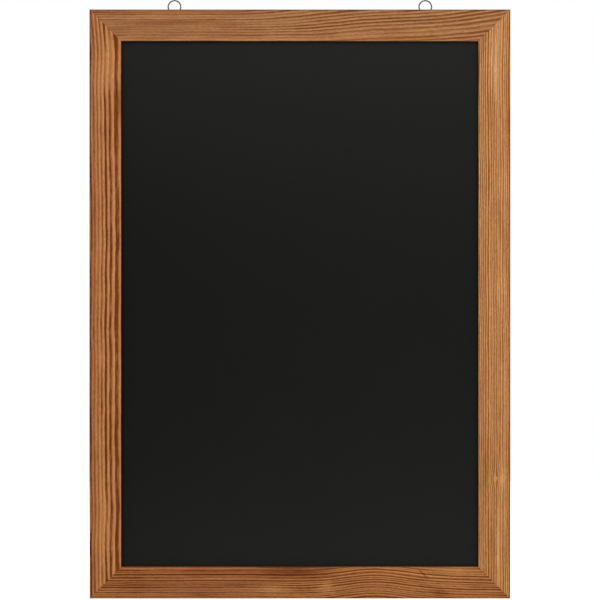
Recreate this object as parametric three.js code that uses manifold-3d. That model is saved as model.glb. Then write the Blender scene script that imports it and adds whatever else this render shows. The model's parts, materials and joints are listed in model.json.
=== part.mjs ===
// A framed wall chalkboard: a mitred softwood moulding, a black writing panel held in its rebate
// by framer's points, and two wire rings that swing in folded steel straps on the back.
//
// Millimetres, +Z up. The board faces -Y and the wall is on its +Y side. The origin lies midway
// between the two places where the rings bear on their wall hooks, in the plane of the rings.
import * as THREE from "three";
import { mergeVertices } from "three/addons/utils/BufferGeometryUtils.js";
import Module from "manifold-3d";

// Frame moulding
const FRAME_WIDTH = 500;
const FRAME_HEIGHT = 700;
const MOULDING_WIDTH = 38;
const MOULDING_THICKNESS = 20;
const LIP_THICKNESS = 7;
const REBATE_WIDTH = 7;
const FRONT_ARRIS_RADIUS = 2;
const BACK_ARRIS_RADIUS = 1;
const GLUE_LINE = 0.1;

// Writing panel, a sheet of lacquered hardboard
const PANEL_THICKNESS = 3;
const PANEL_EDGE_PLAY = 1;

// Corner nails: a folded steel V, pressed in from the back across each mitre
const NAILS_PER_CORNER = 2;
const NAIL_LEG = 4.4;
const NAIL_FLARE = 1.3;
const NAIL_FLARE_DEG = 28;
const NAIL_SHEET = 0.6;
const NAIL_HEIGHT = 10;
const NAIL_SETBACK = 0.4;

// Framer's points: flat blades driven into the rebate wall behind the panel
const POINTS_PER_STILE = 4;
const POINTS_PER_RAIL = 3;
const POINT_WIDTH = 9;
const POINT_SHEET = 0.4;
const POINT_BITE = 6;
const POINT_TAPER = 4;
const POINT_COVER = 9;
const POINT_CURL = 3;
const POINT_CURL_DEG = 24;
const POINT_CORNER_RADIUS = 2;

// Hanging rings of bent wire
const RING_SPACING = 300;
const RING_MEAN_DIAMETER = 15;
const RING_WIRE_DIAMETER = 1.6;
const RING_RISE = 5.4; // height of a raised ring's centre above the frame's top edge
const RING_SPLIT = 0.3; // where the bent wire's two ends meet

// Straps: a steel strip folded double round the ring and screwed to the top rail
const STRAP_SHEET = 0.8;
const STRAP_WIDTH = 10;
const KNUCKLE_WIDTH = 4.8;
const SHOULDER_LENGTH = 3.4;
const FOLD_GAP = 0.15;
const NECK_BEND_RADIUS = 1.2;

// Pan-head screws with a cross recess
const SCREW_DIAMETER = 3;
const SCREW_LENGTH = 12;
const SCREW_TIP_LENGTH = 3;
const SCREW_HEAD_DIAMETER = 5.6;
const SCREW_HEAD_HEIGHT = 1.9;
const SCREW_RIM_HEIGHT = 0.5;
const RECESS_DIAMETER = 3.2;
const RECESS_DEPTH = 1.4;
const RECESS_BLADE = 0.7;
const SCREW_TURNS_DEG = [12, 61, 38, 80];

// Clearances
const CONTACT_GAP = 0.1; // between flat faces that rest on each other
const PRESSED_GAP = 0.1; // round steel pressed into the wood
const PILOT_CLEARANCE = 0.15; // round a screw in the wood
const SCREW_HOLE_CLEARANCE = 0.25; // round a screw in the strap
const WIRE_CLEARANCE = 0.4; // round the ring's wire in its knuckle
const HEAD_CLEARANCE = 1; // between a folded-down ring and the lower screw's head

// Smoothness of round forms
const ARRIS_SEGMENTS = 6;
const BEND_SEGMENTS = 8;
const WIRE_SIDES = 12;
const RING_STEPS = 64;
const SCREW_SIDES = 24;

const wasm = await Module();
wasm.setup();

const COS_45 = Math.SQRT1_2;
const radians = THREE.MathUtils.degToRad;

const ringRadius = RING_MEAN_DIAMETER / 2;
const wireRadius = RING_WIRE_DIAMETER / 2;

// Places across the thickness, along Y, with the rings' plane at zero.
const ringSagitta = ringRadius - Math.sqrt(ringRadius ** 2 - (KNUCKLE_WIDTH / 2) ** 2);
const knuckleBore = wireRadius + ringSagitta + WIRE_CLEARANCE;
const knuckleMid = knuckleBore + STRAP_SHEET / 2;
const backY = -(knuckleBore + STRAP_SHEET + CONTACT_GAP);
const frontY = backY - MOULDING_THICKNESS;
const lipBackY = frontY + LIP_THICKNESS;
const panelFrontY = lipBackY + CONTACT_GAP;
const panelBackY = panelFrontY + PANEL_THICKNESS;

// Heights along Z, with the rings' bearing points at zero.
const ringCentreZ = -(ringRadius - wireRadius);
const hingeZ = ringCentreZ - ringRadius;
const topEdgeZ = ringCentreZ - RING_RISE;
const frameCentreZ = topEdgeZ - FRAME_HEIGHT / 2;

// The moulding's flat back, from the outer edge to the rebate.
const backWidth = MOULDING_WIDTH - REBATE_WIDTH;

// Screw places below the hinge: the upper one inside a folded-down ring, the lower one beyond it.
const screwHeadRadius = SCREW_HEAD_DIAMETER / 2;
const upperScrewDrop = ringRadius;
const lowerScrewDrop = RING_MEAN_DIAMETER + wireRadius + HEAD_CLEARANCE + screwHeadRadius;
const screwDrops = [upperScrewDrop, lowerScrewDrop];

// Face planes of the strap's two leaves, from the hinge.
const rearLeafMidY = -knuckleMid + STRAP_SHEET + FOLD_GAP;
const rearLeafFaceY = rearLeafMidY + STRAP_SHEET / 2;

// Turns a shape drawn in X and Y, and extruded along Z, into the frame's directions.
const X = new THREE.Vector3(1, 0, 0);
const Y = new THREE.Vector3(0, 1, 0);
const Z = new THREE.Vector3(0, 0, 1);
const minus = (axis) => axis.clone().negate();
const IN_PLAN = new THREE.Matrix4().makeBasis(X, Z, minus(Y));
const IN_SIDE_VIEW = new THREE.Matrix4().makeBasis(Y, Z, X);
const IN_RAIL_SECTION = new THREE.Matrix4().makeBasis(minus(Z), Y, X);
const IN_POINT_SECTION = new THREE.Matrix4().makeBasis(minus(Z), Y, X);

const steel = (color, roughness) =>
  new THREE.MeshStandardMaterial({ color, roughness, metalness: 1, flatShading: true });
const stainedWood = new THREE.MeshStandardMaterial({ color: 0xa3693a, roughness: 0.45 });
const chalkLacquer = new THREE.MeshStandardMaterial({ color: 0x222221, roughness: 0.85 });
const bronzedWire = steel(0x4a3e33, 0.3);
const zincPlate = steel(0xa9aaac, 0.4);
const blueSteel = steel(0x6f7276, 0.5);
stainedWood.flatShading = true;
chalkLacquer.flatShading = true;

// A closed geometry as a solid for joining and cutting.
function solidOf(geometry) {
  const bare = geometry.clone();
  bare.deleteAttribute("normal");
  bare.deleteAttribute("uv");
  const merged = mergeVertices(bare, 1e-4);
  return new wasm.Manifold(
    new wasm.Mesh({
      numProp: 3,
      vertProperties: merged.attributes.position.array,
      triVerts: new Uint32Array(merged.index.array),
    }),
  );
}

function geometryOf(solid) {
  const { vertProperties, triVerts } = solid.getMesh();
  const geometry = new THREE.BufferGeometry();
  geometry.setAttribute("position", new THREE.BufferAttribute(vertProperties, 3));
  geometry.setIndex(new THREE.BufferAttribute(triVerts, 1));
  return geometry;
}

function cutAway(geometry, tools) {
  return geometryOf(tools.reduce((left, tool) => left.subtract(solidOf(tool)), solidOf(geometry)));
}

function commonTo(first, second) {
  return geometryOf(solidOf(first).intersect(solidOf(second)));
}

// A shape extruded by depth, centred on its own plane, and turned by a matrix.
function extruded(shape, depth, turn, curveSegments = ARRIS_SEGMENTS) {
  const options = { depth, bevelEnabled: false, curveSegments };
  return new THREE.ExtrudeGeometry(shape, options).translate(0, 0, -depth / 2).applyMatrix4(turn);
}

// The outline of bent sheet metal: a midline, offset to both sides by half the sheet.
function sheetOutline(midline, sheet) {
  const side = (sign) =>
    midline.map((point, i) => {
      const before = midline[Math.max(i - 1, 0)];
      const after = midline[Math.min(i + 1, midline.length - 1)];
      const incoming = (i > 0 ? point.clone().sub(before) : after.clone().sub(point)).normalize();
      const outgoing = (i < midline.length - 1 ? after.clone().sub(point) : incoming).clone().normalize();
      const normal = new THREE.Vector2(-incoming.y - outgoing.y, incoming.x + outgoing.x);
      const mitre = normal.length() ** 2 / 2;
      return point.clone().addScaledVector(normal, (sign * sheet) / 2 / mitre);
    });
  return new THREE.Shape([...side(1), ...side(-1).reverse()]);
}

function directionAt(degrees) {
  return new THREE.Vector2(Math.cos(radians(degrees)), Math.sin(radians(degrees)));
}

// The moulding's section: X runs from the outer edge to the opening, Y from front to back.
function mouldingSection() {
  const front = FRONT_ARRIS_RADIUS;
  const back = BACK_ARRIS_RADIUS;
  const quarter = Math.PI / 2;
  const section = new THREE.Shape();
  section.moveTo(0, backY - back);
  section.lineTo(0, frontY + front);
  section.absarc(front, frontY + front, front, 2 * quarter, 3 * quarter, false);
  section.lineTo(MOULDING_WIDTH - front, frontY);
  section.absarc(MOULDING_WIDTH - front, frontY + front, front, 3 * quarter, 4 * quarter, false);
  section.lineTo(MOULDING_WIDTH, lipBackY);
  section.lineTo(backWidth, lipBackY);
  section.lineTo(backWidth, backY);
  section.lineTo(back, backY);
  section.absarc(back, backY - back, back, quarter, 2 * quarter, false);
  return section;
}

// A length of moulding along X whose outer edge lies at height outerZ, mitred at both ends.
function mitredMoulding(length, outerZ) {
  const geometry = extruded(mouldingSection(), length, IN_RAIL_SECTION);
  const corners = geometry.attributes.position;
  for (let i = 0; i < corners.count; i++) {
    const fromOuterEdge = -corners.getZ(i);
    const reach = length / 2 - fromOuterEdge - GLUE_LINE * COS_45;
    corners.setX(i, Math.sign(corners.getX(i)) * reach);
  }
  return geometry.translate(0, 0, outerZ);
}

// A corner nail, or with a gap the slot that it fills. X and Z run inward from the outer corner,
// and the V points at that corner with one leg in each of the two mouldings.
function cornerNail(index, gap = 0) {
  const leg = NAIL_LEG + gap;
  const flare = directionAt(NAIL_FLARE_DEG).multiplyScalar(NAIL_FLARE + gap);
  const pitch = backWidth / NAILS_PER_CORNER;
  const apex = (index + 0.5) * pitch - NAIL_LEG / 2;
  const halfV = [new THREE.Vector2(leg, 0), new THREE.Vector2(leg, 0).add(flare.clone().set(flare.x, -flare.y))];
  const mirrored = halfV.map((p) => new THREE.Vector2(p.y, p.x)).reverse();
  const midline = [...mirrored, new THREE.Vector2(0, 0), ...halfV].map((p) => p.addScalar(apex));
  const height = NAIL_HEIGHT + 2 * gap;
  return extruded(sheetOutline(midline, NAIL_SHEET + 2 * gap), height, IN_PLAN).translate(
    0,
    backY - NAIL_SETBACK - NAIL_HEIGHT / 2,
    0,
  );
}

// The same nail slot, driven from the back face so that the slot is open behind the nail.
function cornerNailSlot(index) {
  const slot = cornerNail(index, PRESSED_GAP);
  const places = slot.attributes.position;
  for (let i = 0; i < places.count; i++) {
    if (places.getY(i) > backY - NAIL_SETBACK - NAIL_HEIGHT / 2) places.setY(i, backY + PRESSED_GAP);
  }
  return slot;
}

// Moves a corner piece to a rail's end: its X runs back along the rail and its Z down.
function toCorner(geometry, endX, outerZ) {
  const inward = new THREE.Matrix4().makeBasis(endX > 0 ? minus(X) : X, Y, minus(Z));
  const placed = geometry.clone().applyMatrix4(inward);
  return (inward.determinant() < 0 ? flipped(placed) : placed).translate(endX, 0, outerZ);
}

// Reverses the triangles of a mirrored geometry so that they face outward again.
function flipped(geometry) {
  const whole = geometry.index ? geometry.toNonIndexed() : geometry;
  const array = whole.attributes.position.array;
  for (let i = 0; i < array.length; i += 9) {
    for (let k = 0; k < 3; k++) {
      [array[i + 3 + k], array[i + 6 + k]] = [array[i + 6 + k], array[i + 3 + k]];
    }
  }
  return whole;
}

// A framer's point, or with a gap the slot for its blade. Its origin is where it enters the
// rebate wall: Z is up into the wood, and the curled free end lies over the panel.
function framersPoint(gap = 0) {
  const half = POINT_WIDTH / 2 + gap;
  const bite = POINT_BITE + gap;
  const corner = POINT_CORNER_RADIUS;
  const outline = new THREE.Shape();
  outline.moveTo(0, bite);
  outline.lineTo(-half, bite - POINT_TAPER);
  outline.lineTo(-half, corner - POINT_COVER);
  outline.quadraticCurveTo(-half, -POINT_COVER, corner - half, -POINT_COVER);
  outline.lineTo(half - corner, -POINT_COVER);
  outline.quadraticCurveTo(half, -POINT_COVER, half, corner - POINT_COVER);
  outline.lineTo(half, bite - POINT_TAPER);

  const flatEnd = new THREE.Vector2(POINT_COVER - POINT_CURL, 0);
  const curl = directionAt(POINT_CURL_DEG).multiplyScalar(POINT_CURL);
  const midline = [new THREE.Vector2(-bite, 0), flatEnd, flatEnd.clone().add(curl)];
  const sheet = POINT_SHEET + 2 * gap;
  const blade = extruded(sheetOutline(midline, sheet), 2 * POINT_WIDTH, IN_POINT_SECTION);
  const plan = extruded(outline, 2 * POINT_COVER, IN_PLAN);
  const bladeY = panelBackY + CONTACT_GAP + POINT_SHEET / 2;
  return commonTo(blade, plan).translate(0, bladeY, 0);
}

// A strap, with its hinge along X through the origin: Y points away from the frame, Z up.
function strap() {
  const neckAngle = Math.acos((NECK_BEND_RADIUS + rearLeafMidY) / (knuckleMid + NECK_BEND_RADIUS));
  const neckReach = knuckleMid + NECK_BEND_RADIUS;
  const neckY = neckReach * Math.cos(neckAngle);
  const neckZ = -neckReach * Math.sin(neckAngle);
  const foot = -(lowerScrewDrop + STRAP_WIDTH / 2);
  const midline = new THREE.Path();
  midline.moveTo(-knuckleMid, foot);
  midline.lineTo(-knuckleMid, 0);
  midline.absarc(0, 0, knuckleMid, Math.PI, -neckAngle, true);
  midline.absarc(neckY, neckZ, NECK_BEND_RADIUS, Math.PI - neckAngle, Math.PI, false);
  midline.lineTo(rearLeafMidY, foot);
  const bent = sheetOutline(withoutRepeats(midline.getPoints(BEND_SEGMENTS)), STRAP_SHEET);
  const folded = extruded(bent, 2 * STRAP_WIDTH, IN_SIDE_VIEW);

  const narrow = KNUCKLE_WIDTH / 2;
  const wide = STRAP_WIDTH / 2;
  const crown = knuckleBore + 2 * STRAP_SHEET;
  const shoulderTop = -(knuckleBore + STRAP_SHEET);
  const shoulderFoot = shoulderTop - SHOULDER_LENGTH;
  const shoulderMid = (shoulderTop + shoulderFoot) / 2;
  const outline = new THREE.Shape();
  outline.moveTo(narrow, crown);
  outline.lineTo(-narrow, crown);
  outline.lineTo(-narrow, shoulderTop);
  outline.bezierCurveTo(-narrow, shoulderMid, -wide, shoulderMid, -wide, shoulderFoot);
  outline.lineTo(-wide, -lowerScrewDrop);
  outline.absarc(0, -lowerScrewDrop, wide, Math.PI, 2 * Math.PI, false);
  outline.lineTo(wide, shoulderFoot);
  outline.bezierCurveTo(wide, shoulderMid, narrow, shoulderMid, narrow, shoulderTop);
  const plan = extruded(outline, 4 * knuckleMid, IN_PLAN, BEND_SEGMENTS);

  const holeRadius = SCREW_DIAMETER / 2 + SCREW_HOLE_CLEARANCE;
  const holes = screwDrops.map((drop) =>
    new THREE.CylinderGeometry(holeRadius, holeRadius, 4 * knuckleMid, SCREW_SIDES).translate(0, 0, -drop),
  );
  return cutAway(commonTo(folded, plan), holes);
}

function withoutRepeats(points) {
  return points.filter((p, i) => i === 0 || p.distanceTo(points[i - 1]) > 1e-6);
}

// A ring of wire, standing up from its hinge at the origin, with its split ends in the knuckle.
function ring() {
  const wire = new THREE.TorusGeometry(ringRadius, wireRadius, WIRE_SIDES, RING_STEPS)
    .rotateX(Math.PI / 2)
    .translate(0, 0, ringRadius);
  const split = new THREE.BoxGeometry(RING_SPLIT, 2 * RING_WIRE_DIAMETER, 2 * RING_WIRE_DIAMETER);
  return cutAway(wire, [split]);
}

// A screw along Y with the underside of its head at the origin and its tip towards the front.
function screw() {
  const shank = SCREW_DIAMETER / 2;
  const domeHeight = SCREW_HEAD_HEIGHT - SCREW_RIM_HEIGHT;
  const dome = Array.from({ length: ARRIS_SEGMENTS }, (_, i) => {
    const along = (i / ARRIS_SEGMENTS) * (Math.PI / 2);
    const height = SCREW_RIM_HEIGHT + domeHeight * Math.sin(along);
    return new THREE.Vector2(screwHeadRadius * Math.cos(along), height);
  });
  const profile = [
    new THREE.Vector2(0, -SCREW_LENGTH),
    new THREE.Vector2(shank, SCREW_TIP_LENGTH - SCREW_LENGTH),
    new THREE.Vector2(shank, 0),
    new THREE.Vector2(screwHeadRadius, 0),
    ...dome,
    new THREE.Vector2(0, SCREW_HEAD_HEIGHT),
  ];
  const body = new THREE.LatheGeometry(profile, SCREW_SIDES);
  const arm = () => new THREE.BoxGeometry(RECESS_DIAMETER, 2 * RECESS_DEPTH, RECESS_BLADE);
  const cross = geometryOf(solidOf(arm()).add(solidOf(arm().rotateY(Math.PI / 2))));
  const funnel = new THREE.CylinderGeometry(RECESS_DIAMETER / 2, RECESS_BLADE / 2, RECESS_DEPTH, SCREW_SIDES);
  funnel.translate(0, SCREW_HEAD_HEIGHT - RECESS_DEPTH / 2, 0);
  return cutAway(body, [commonTo(cross.translate(0, SCREW_HEAD_HEIGHT, 0), funnel)]);
}

// The hole that a strap's screw makes in the rail, open at the back face.
function pilotHole() {
  const radius = SCREW_DIAMETER / 2 + PILOT_CLEARANCE;
  const bottomY = rearLeafFaceY + CONTACT_GAP - SCREW_LENGTH - PILOT_CLEARANCE;
  const height = backY + PILOT_CLEARANCE - bottomY;
  return new THREE.CylinderGeometry(radius, radius, height, SCREW_SIDES).translate(0, bottomY + height / 2, 0);
}

function part(name, geometry, material, place = [0, 0, 0]) {
  const mesh = new THREE.Mesh(geometry, material);
  mesh.name = name;
  mesh.position.set(...place);
  return mesh;
}

// The four sides, each built as the top one is and turned about Y. endCorner is the corner at
// the side's own +X end, whose nails belong to its group.
const sides = [
  { name: "top_rail", edge: "top", endCorner: "top_right", turnDeg: 0, upright: false },
  { name: "right_stile", edge: "right", endCorner: "bottom_right", turnDeg: 90, upright: true },
  { name: "bottom_rail", edge: "bottom", endCorner: "bottom_left", turnDeg: 180, upright: false },
  { name: "left_stile", edge: "left", endCorner: "top_left", turnDeg: -90, upright: true },
];
const hangers = [
  { name: "left", x: -RING_SPACING / 2 },
  { name: "right", x: RING_SPACING / 2 },
];

function frameSide({ name, edge, endCorner, turnDeg, upright }) {
  const length = upright ? FRAME_HEIGHT : FRAME_WIDTH;
  const outerZ = (upright ? FRAME_WIDTH : FRAME_HEIGHT) / 2;
  const wallZ = outerZ - backWidth;
  const nails = [...Array(NAILS_PER_CORNER).keys()];
  const pointCount = upright ? POINTS_PER_STILE : POINTS_PER_RAIL;
  const opening = length - 2 * MOULDING_WIDTH;
  const pointXs = Array.from({ length: pointCount }, (_, i) => ((i + 0.5) / pointCount - 0.5) * opening);

  const cuts = [
    ...nails.flatMap((i) => [-1, 1].map((end) => toCorner(cornerNailSlot(i), (end * length) / 2, outerZ))),
    ...pointXs.map((x) => framersPoint(PRESSED_GAP).translate(x, 0, wallZ)),
  ];
  if (edge === "top") {
    for (const { x } of hangers) {
      for (const drop of screwDrops) cuts.push(pilotHole().translate(x, 0, hingeZ - drop - frameCentreZ));
    }
  }

  const side = new THREE.Group();
  side.rotation.y = radians(turnDeg);
  side.add(part(`frame_${name}`, cutAway(mitredMoulding(length, outerZ), cuts), stainedWood));
  nails.forEach((i) => {
    const nail = toCorner(cornerNail(i), length / 2, outerZ);
    side.add(part(`corner_nail_${endCorner}_${i + 1}`, nail, blueSteel));
  });
  pointXs.forEach((x, i) => {
    side.add(part(`framers_point_${edge}_${i + 1}`, framersPoint(), zincPlate, [x, 0, wallZ]));
  });
  return side;
}

function writingPanel() {
  const inset = 2 * (backWidth + PANEL_EDGE_PLAY);
  const sheet = new THREE.BoxGeometry(FRAME_WIDTH - inset, PANEL_THICKNESS, FRAME_HEIGHT - inset);
  return part("chalk_panel", sheet, chalkLacquer, [0, (panelFrontY + panelBackY) / 2, 0]);
}

function hanger({ name, x }, index) {
  const group = new THREE.Group();
  group.position.set(x, 0, hingeZ);
  group.add(part(`hanging_ring_${name}`, ring(), bronzedWire));
  group.add(part(`ring_strap_${name}`, strap(), zincPlate));
  screwDrops.forEach((drop, i) => {
    const place = [0, rearLeafFaceY + CONTACT_GAP, -drop];
    const fixing = part(`strap_screw_${name}_${i ? "lower" : "upper"}`, screw(), zincPlate, place);
    fixing.rotation.y = radians(SCREW_TURNS_DEG[2 * index + i]);
    group.add(fixing);
  });
  return group;
}

const chalkboard = new THREE.Group();
const frame = new THREE.Group();
frame.position.z = frameCentreZ;
frame.add(...sides.map(frameSide), writingPanel());
chalkboard.add(frame, ...hangers.map(hanger));

export default chalkboard;
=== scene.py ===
"""A framed wall chalkboard, dressed in stained softwood, matt black lacquer and plated steel.

The fixed frame gives every piece its place. Lengths are in metres, +Z is up, the board faces -Y
and the wall is on its +Y side.
"""

import json
import logging
import math
from dataclasses import dataclass, field
from enum import Enum
from typing import Callable, Iterable, Mapping, Sequence, Union

import bmesh
import bpy
from mathutils import Euler, Matrix, Vector

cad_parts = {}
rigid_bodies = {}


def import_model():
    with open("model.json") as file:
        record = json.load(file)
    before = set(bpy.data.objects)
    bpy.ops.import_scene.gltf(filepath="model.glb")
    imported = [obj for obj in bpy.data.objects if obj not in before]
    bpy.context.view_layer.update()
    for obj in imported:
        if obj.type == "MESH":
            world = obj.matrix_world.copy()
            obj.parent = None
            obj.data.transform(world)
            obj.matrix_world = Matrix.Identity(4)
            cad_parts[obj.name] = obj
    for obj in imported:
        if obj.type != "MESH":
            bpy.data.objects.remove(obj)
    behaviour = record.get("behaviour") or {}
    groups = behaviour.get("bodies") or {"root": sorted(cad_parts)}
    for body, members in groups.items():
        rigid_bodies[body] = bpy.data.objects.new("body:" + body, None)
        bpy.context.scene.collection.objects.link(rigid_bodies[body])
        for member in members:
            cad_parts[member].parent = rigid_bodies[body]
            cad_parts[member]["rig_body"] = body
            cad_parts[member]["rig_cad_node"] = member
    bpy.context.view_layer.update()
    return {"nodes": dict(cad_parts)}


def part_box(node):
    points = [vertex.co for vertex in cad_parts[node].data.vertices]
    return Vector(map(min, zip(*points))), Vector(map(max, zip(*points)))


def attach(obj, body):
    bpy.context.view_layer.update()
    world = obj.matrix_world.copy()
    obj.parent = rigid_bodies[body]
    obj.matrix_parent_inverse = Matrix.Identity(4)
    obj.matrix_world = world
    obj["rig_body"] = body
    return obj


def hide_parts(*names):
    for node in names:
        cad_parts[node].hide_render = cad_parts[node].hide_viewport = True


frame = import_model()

MM = 0.001
# places closer than this are found as one and the same
SAME_PLACE = 0.02 * MM
# points closer than these are merged, after a cut and in a copy of a part of the fixed frame
CUT_SNAP = 0.0005 * MM
MERGED = 0.001 * MM
# a face looks along an axis when more than this share of its normal lies along it
SQUARE_ON = 0.9
# the sockets of a Mix node that mixes colours
MIX_FACTOR, MIX_FIRST, MIX_SECOND, MIX_RESULT = 0, 6, 7, 2

log = logging.getLogger("chalkboard")


class Side(Enum):
    """The four sides of the frame, with how far each is turned from the top one, in quarter turns."""

    TOP = 0
    RIGHT = 1
    BOTTOM = 2
    LEFT = 3

    @property
    def upright(self) -> bool:
        """Whether the side is a stile and not a rail."""
        return self in (Side.LEFT, Side.RIGHT)

    @property
    def node(self) -> str:
        """The name of the side's part in the fixed frame."""
        return f"frame_{self.name.lower()}_{'stile' if self.upright else 'rail'}"


class Hand(Enum):
    """The two hangers, as seen from the writing side."""

    LEFT = "left"
    RIGHT = "right"


@dataclass(frozen=True)
class BoardSizes:
    """Where the board's main faces lie, read from the fixed frame."""

    left: float
    right: float
    bottom: float
    top: float
    front: float
    back: float
    moulding_width: float
    lip_back: float
    rebate_width: float

    SEAT_GAP = 0.1 * MM
    PANEL_PLAY = 1.0 * MM

    @classmethod
    def read(cls) -> "BoardSizes":
        """Read the sizes.

        Returns:
            The board's sizes, in the frame's own directions.
        """
        stile_low, stile_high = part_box(Side.LEFT.node)
        rail_low, rail_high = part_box(Side.TOP.node)
        panel_low, panel_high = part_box("chalk_panel")
        return cls(
            left=stile_low.x,
            right=-stile_low.x,
            bottom=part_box(Side.BOTTOM.node)[0].z,
            top=rail_high.z,
            front=rail_low.y,
            back=rail_high.y,
            moulding_width=rail_high.z - rail_low.z,
            lip_back=panel_low.y - cls.SEAT_GAP,
            rebate_width=panel_high.z + cls.PANEL_PLAY - rail_low.z,
        )

    @property
    def centre(self) -> Vector:
        """The middle of the board's outline, in the plane of the frame's axes."""
        return Vector(((self.left + self.right) / 2, 0, (self.bottom + self.top) / 2))

    def inner_half_span(self, side: Side) -> float:
        """How far a side's inner edge is from the board's centre."""
        return self.half_span(side) - self.moulding_width

    def half_length(self, side: Side) -> float:
        """Half of a side's outer length."""
        return (self.top - self.bottom if side.upright else self.right - self.left) / 2

    def half_span(self, side: Side) -> float:
        """How far a side's outer edge is from the board's centre."""
        return (self.right - self.left if side.upright else self.top - self.bottom) / 2

    def from_top(self, side: Side) -> Matrix:
        """What turns a piece built about the origin as if for the top side to its own side."""
        return Matrix.Translation(self.centre) @ Matrix.Rotation(side.value * math.pi / 2, 4, "Y")


NAILS_PER_CORNER = 2
POINTS_PER_RAIL = 3
POINTS_PER_STILE = 4
# how far the cross in each screw's head is turned, in degrees
SCREW_TURNS = {
    "strap_screw_left_upper": 12,
    "strap_screw_left_lower": 61,
    "strap_screw_right_upper": 38,
    "strap_screw_right_lower": 80,
}
STRAP_SCREWS = tuple(SCREW_TURNS)


def corner_nails(side: Side) -> list[str]:
    """The nails at a side's two ends.

    Args:
        side: The side.

    Returns:
        Their names in the fixed frame, those at the clockwise end first.
    """
    corners = {
        Side.TOP: ("top_right", "top_left"),
        Side.RIGHT: ("bottom_right", "top_right"),
        Side.BOTTOM: ("bottom_left", "bottom_right"),
        Side.LEFT: ("top_left", "bottom_left"),
    }[side]
    return [f"corner_nail_{corner}_{i + 1}" for corner in corners for i in range(NAILS_PER_CORNER)]


def framers_points(side: Side) -> list[str]:
    """The framer's points along a side, as named in the fixed frame."""
    count = POINTS_PER_STILE if side.upright else POINTS_PER_RAIL
    return [f"framers_point_{side.name.lower()}_{i + 1}" for i in range(count)]


Colour = tuple[float, float, float, float]


def linear(red: float, green: float, blue: float) -> Colour:
    """Turn a display colour into the linear one that shaders use.

    Args:
        red: Red, 0 to 255.
        green: Green, 0 to 255.
        blue: Blue, 0 to 255.

    Returns:
        Linear red, green and blue, and an alpha of 1.
    """

    def decoded(channel: float) -> float:
        """One channel without the usual curve of displays."""
        share = channel / 255
        return share / 12.92 if share <= 0.04045 else ((share + 0.055) / 1.055) ** 2.4

    return decoded(red), decoded(green), decoded(blue), 1.0


class Value:
    """A number that changes over a surface. Python's operators on it add Math nodes."""

    def __init__(self, graph: "Graph", socket: bpy.types.NodeSocket) -> None:
        """Wrap a socket.

        Args:
            graph: The node graph that the socket is in.
            socket: The output that gives the number.
        """
        self.graph = graph
        self.socket = socket

    def __add__(self, other: "Number") -> "Value":
        """Sum."""
        return self.graph.maths("ADD", self, other)

    __radd__ = __add__

    def __sub__(self, other: "Number") -> "Value":
        """Difference."""
        return self.graph.maths("SUBTRACT", self, other)

    def __rsub__(self, other: "Number") -> "Value":
        """Difference from a plain number."""
        return self.graph.maths("SUBTRACT", other, self)

    def __mul__(self, other: "Number") -> "Value":
        """Product."""
        return self.graph.maths("MULTIPLY", self, other)

    __rmul__ = __mul__

    def __truediv__(self, other: "Number") -> "Value":
        """Quotient."""
        return self.graph.maths("DIVIDE", self, other)

    def __rtruediv__(self, other: "Number") -> "Value":
        """Quotient of a plain number."""
        return self.graph.maths("DIVIDE", other, self)

    def __neg__(self) -> "Value":
        """Opposite."""
        return self.graph.maths("MULTIPLY", self, -1.0)

    def __abs__(self) -> "Value":
        """Size without its sign."""
        return self.graph.maths("ABSOLUTE", self)

    def root(self) -> "Value":
        """Square root."""
        return self.graph.maths("SQRT", self)

    def whole(self) -> "Value":
        """The whole number below."""
        return self.graph.maths("FLOOR", self)

    def fraction(self) -> "Value":
        """What is left above the whole number below."""
        return self.graph.maths("FRACT", self)

    def sine(self) -> "Value":
        """Sine of an angle in radians."""
        return self.graph.maths("SINE", self)

    def bell(self) -> "Value":
        """A bell curve: 1 at 0, and fading to 0 on both sides."""
        return self.graph.maths("EXPONENT", -(self * self))

    def rise(self, start: float, end: float) -> "Value":
        """A smooth step.

        Args:
            start: Where the step is still 0.
            end: Where the step has reached 1. It may be below start.

        Returns:
            A value from 0 to 1.
        """
        low, high = min(start, end), max(start, end)
        ends = {"To Min": float(start > end), "To Max": float(start <= end)}
        step = self.graph.node(
            "ShaderNodeMapRange",
            {"interpolation_type": "SMOOTHSTEP"},
            {"Value": self, "From Min": low, "From Max": high, **ends},
        )
        return Value(self.graph, step.outputs["Result"])


Number = Union[Value, float]
Input = Union[Value, bpy.types.NodeSocket, float, Sequence[float]]
Places = tuple[Number, Number, Number]
Tint = tuple[float, float, float]


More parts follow.
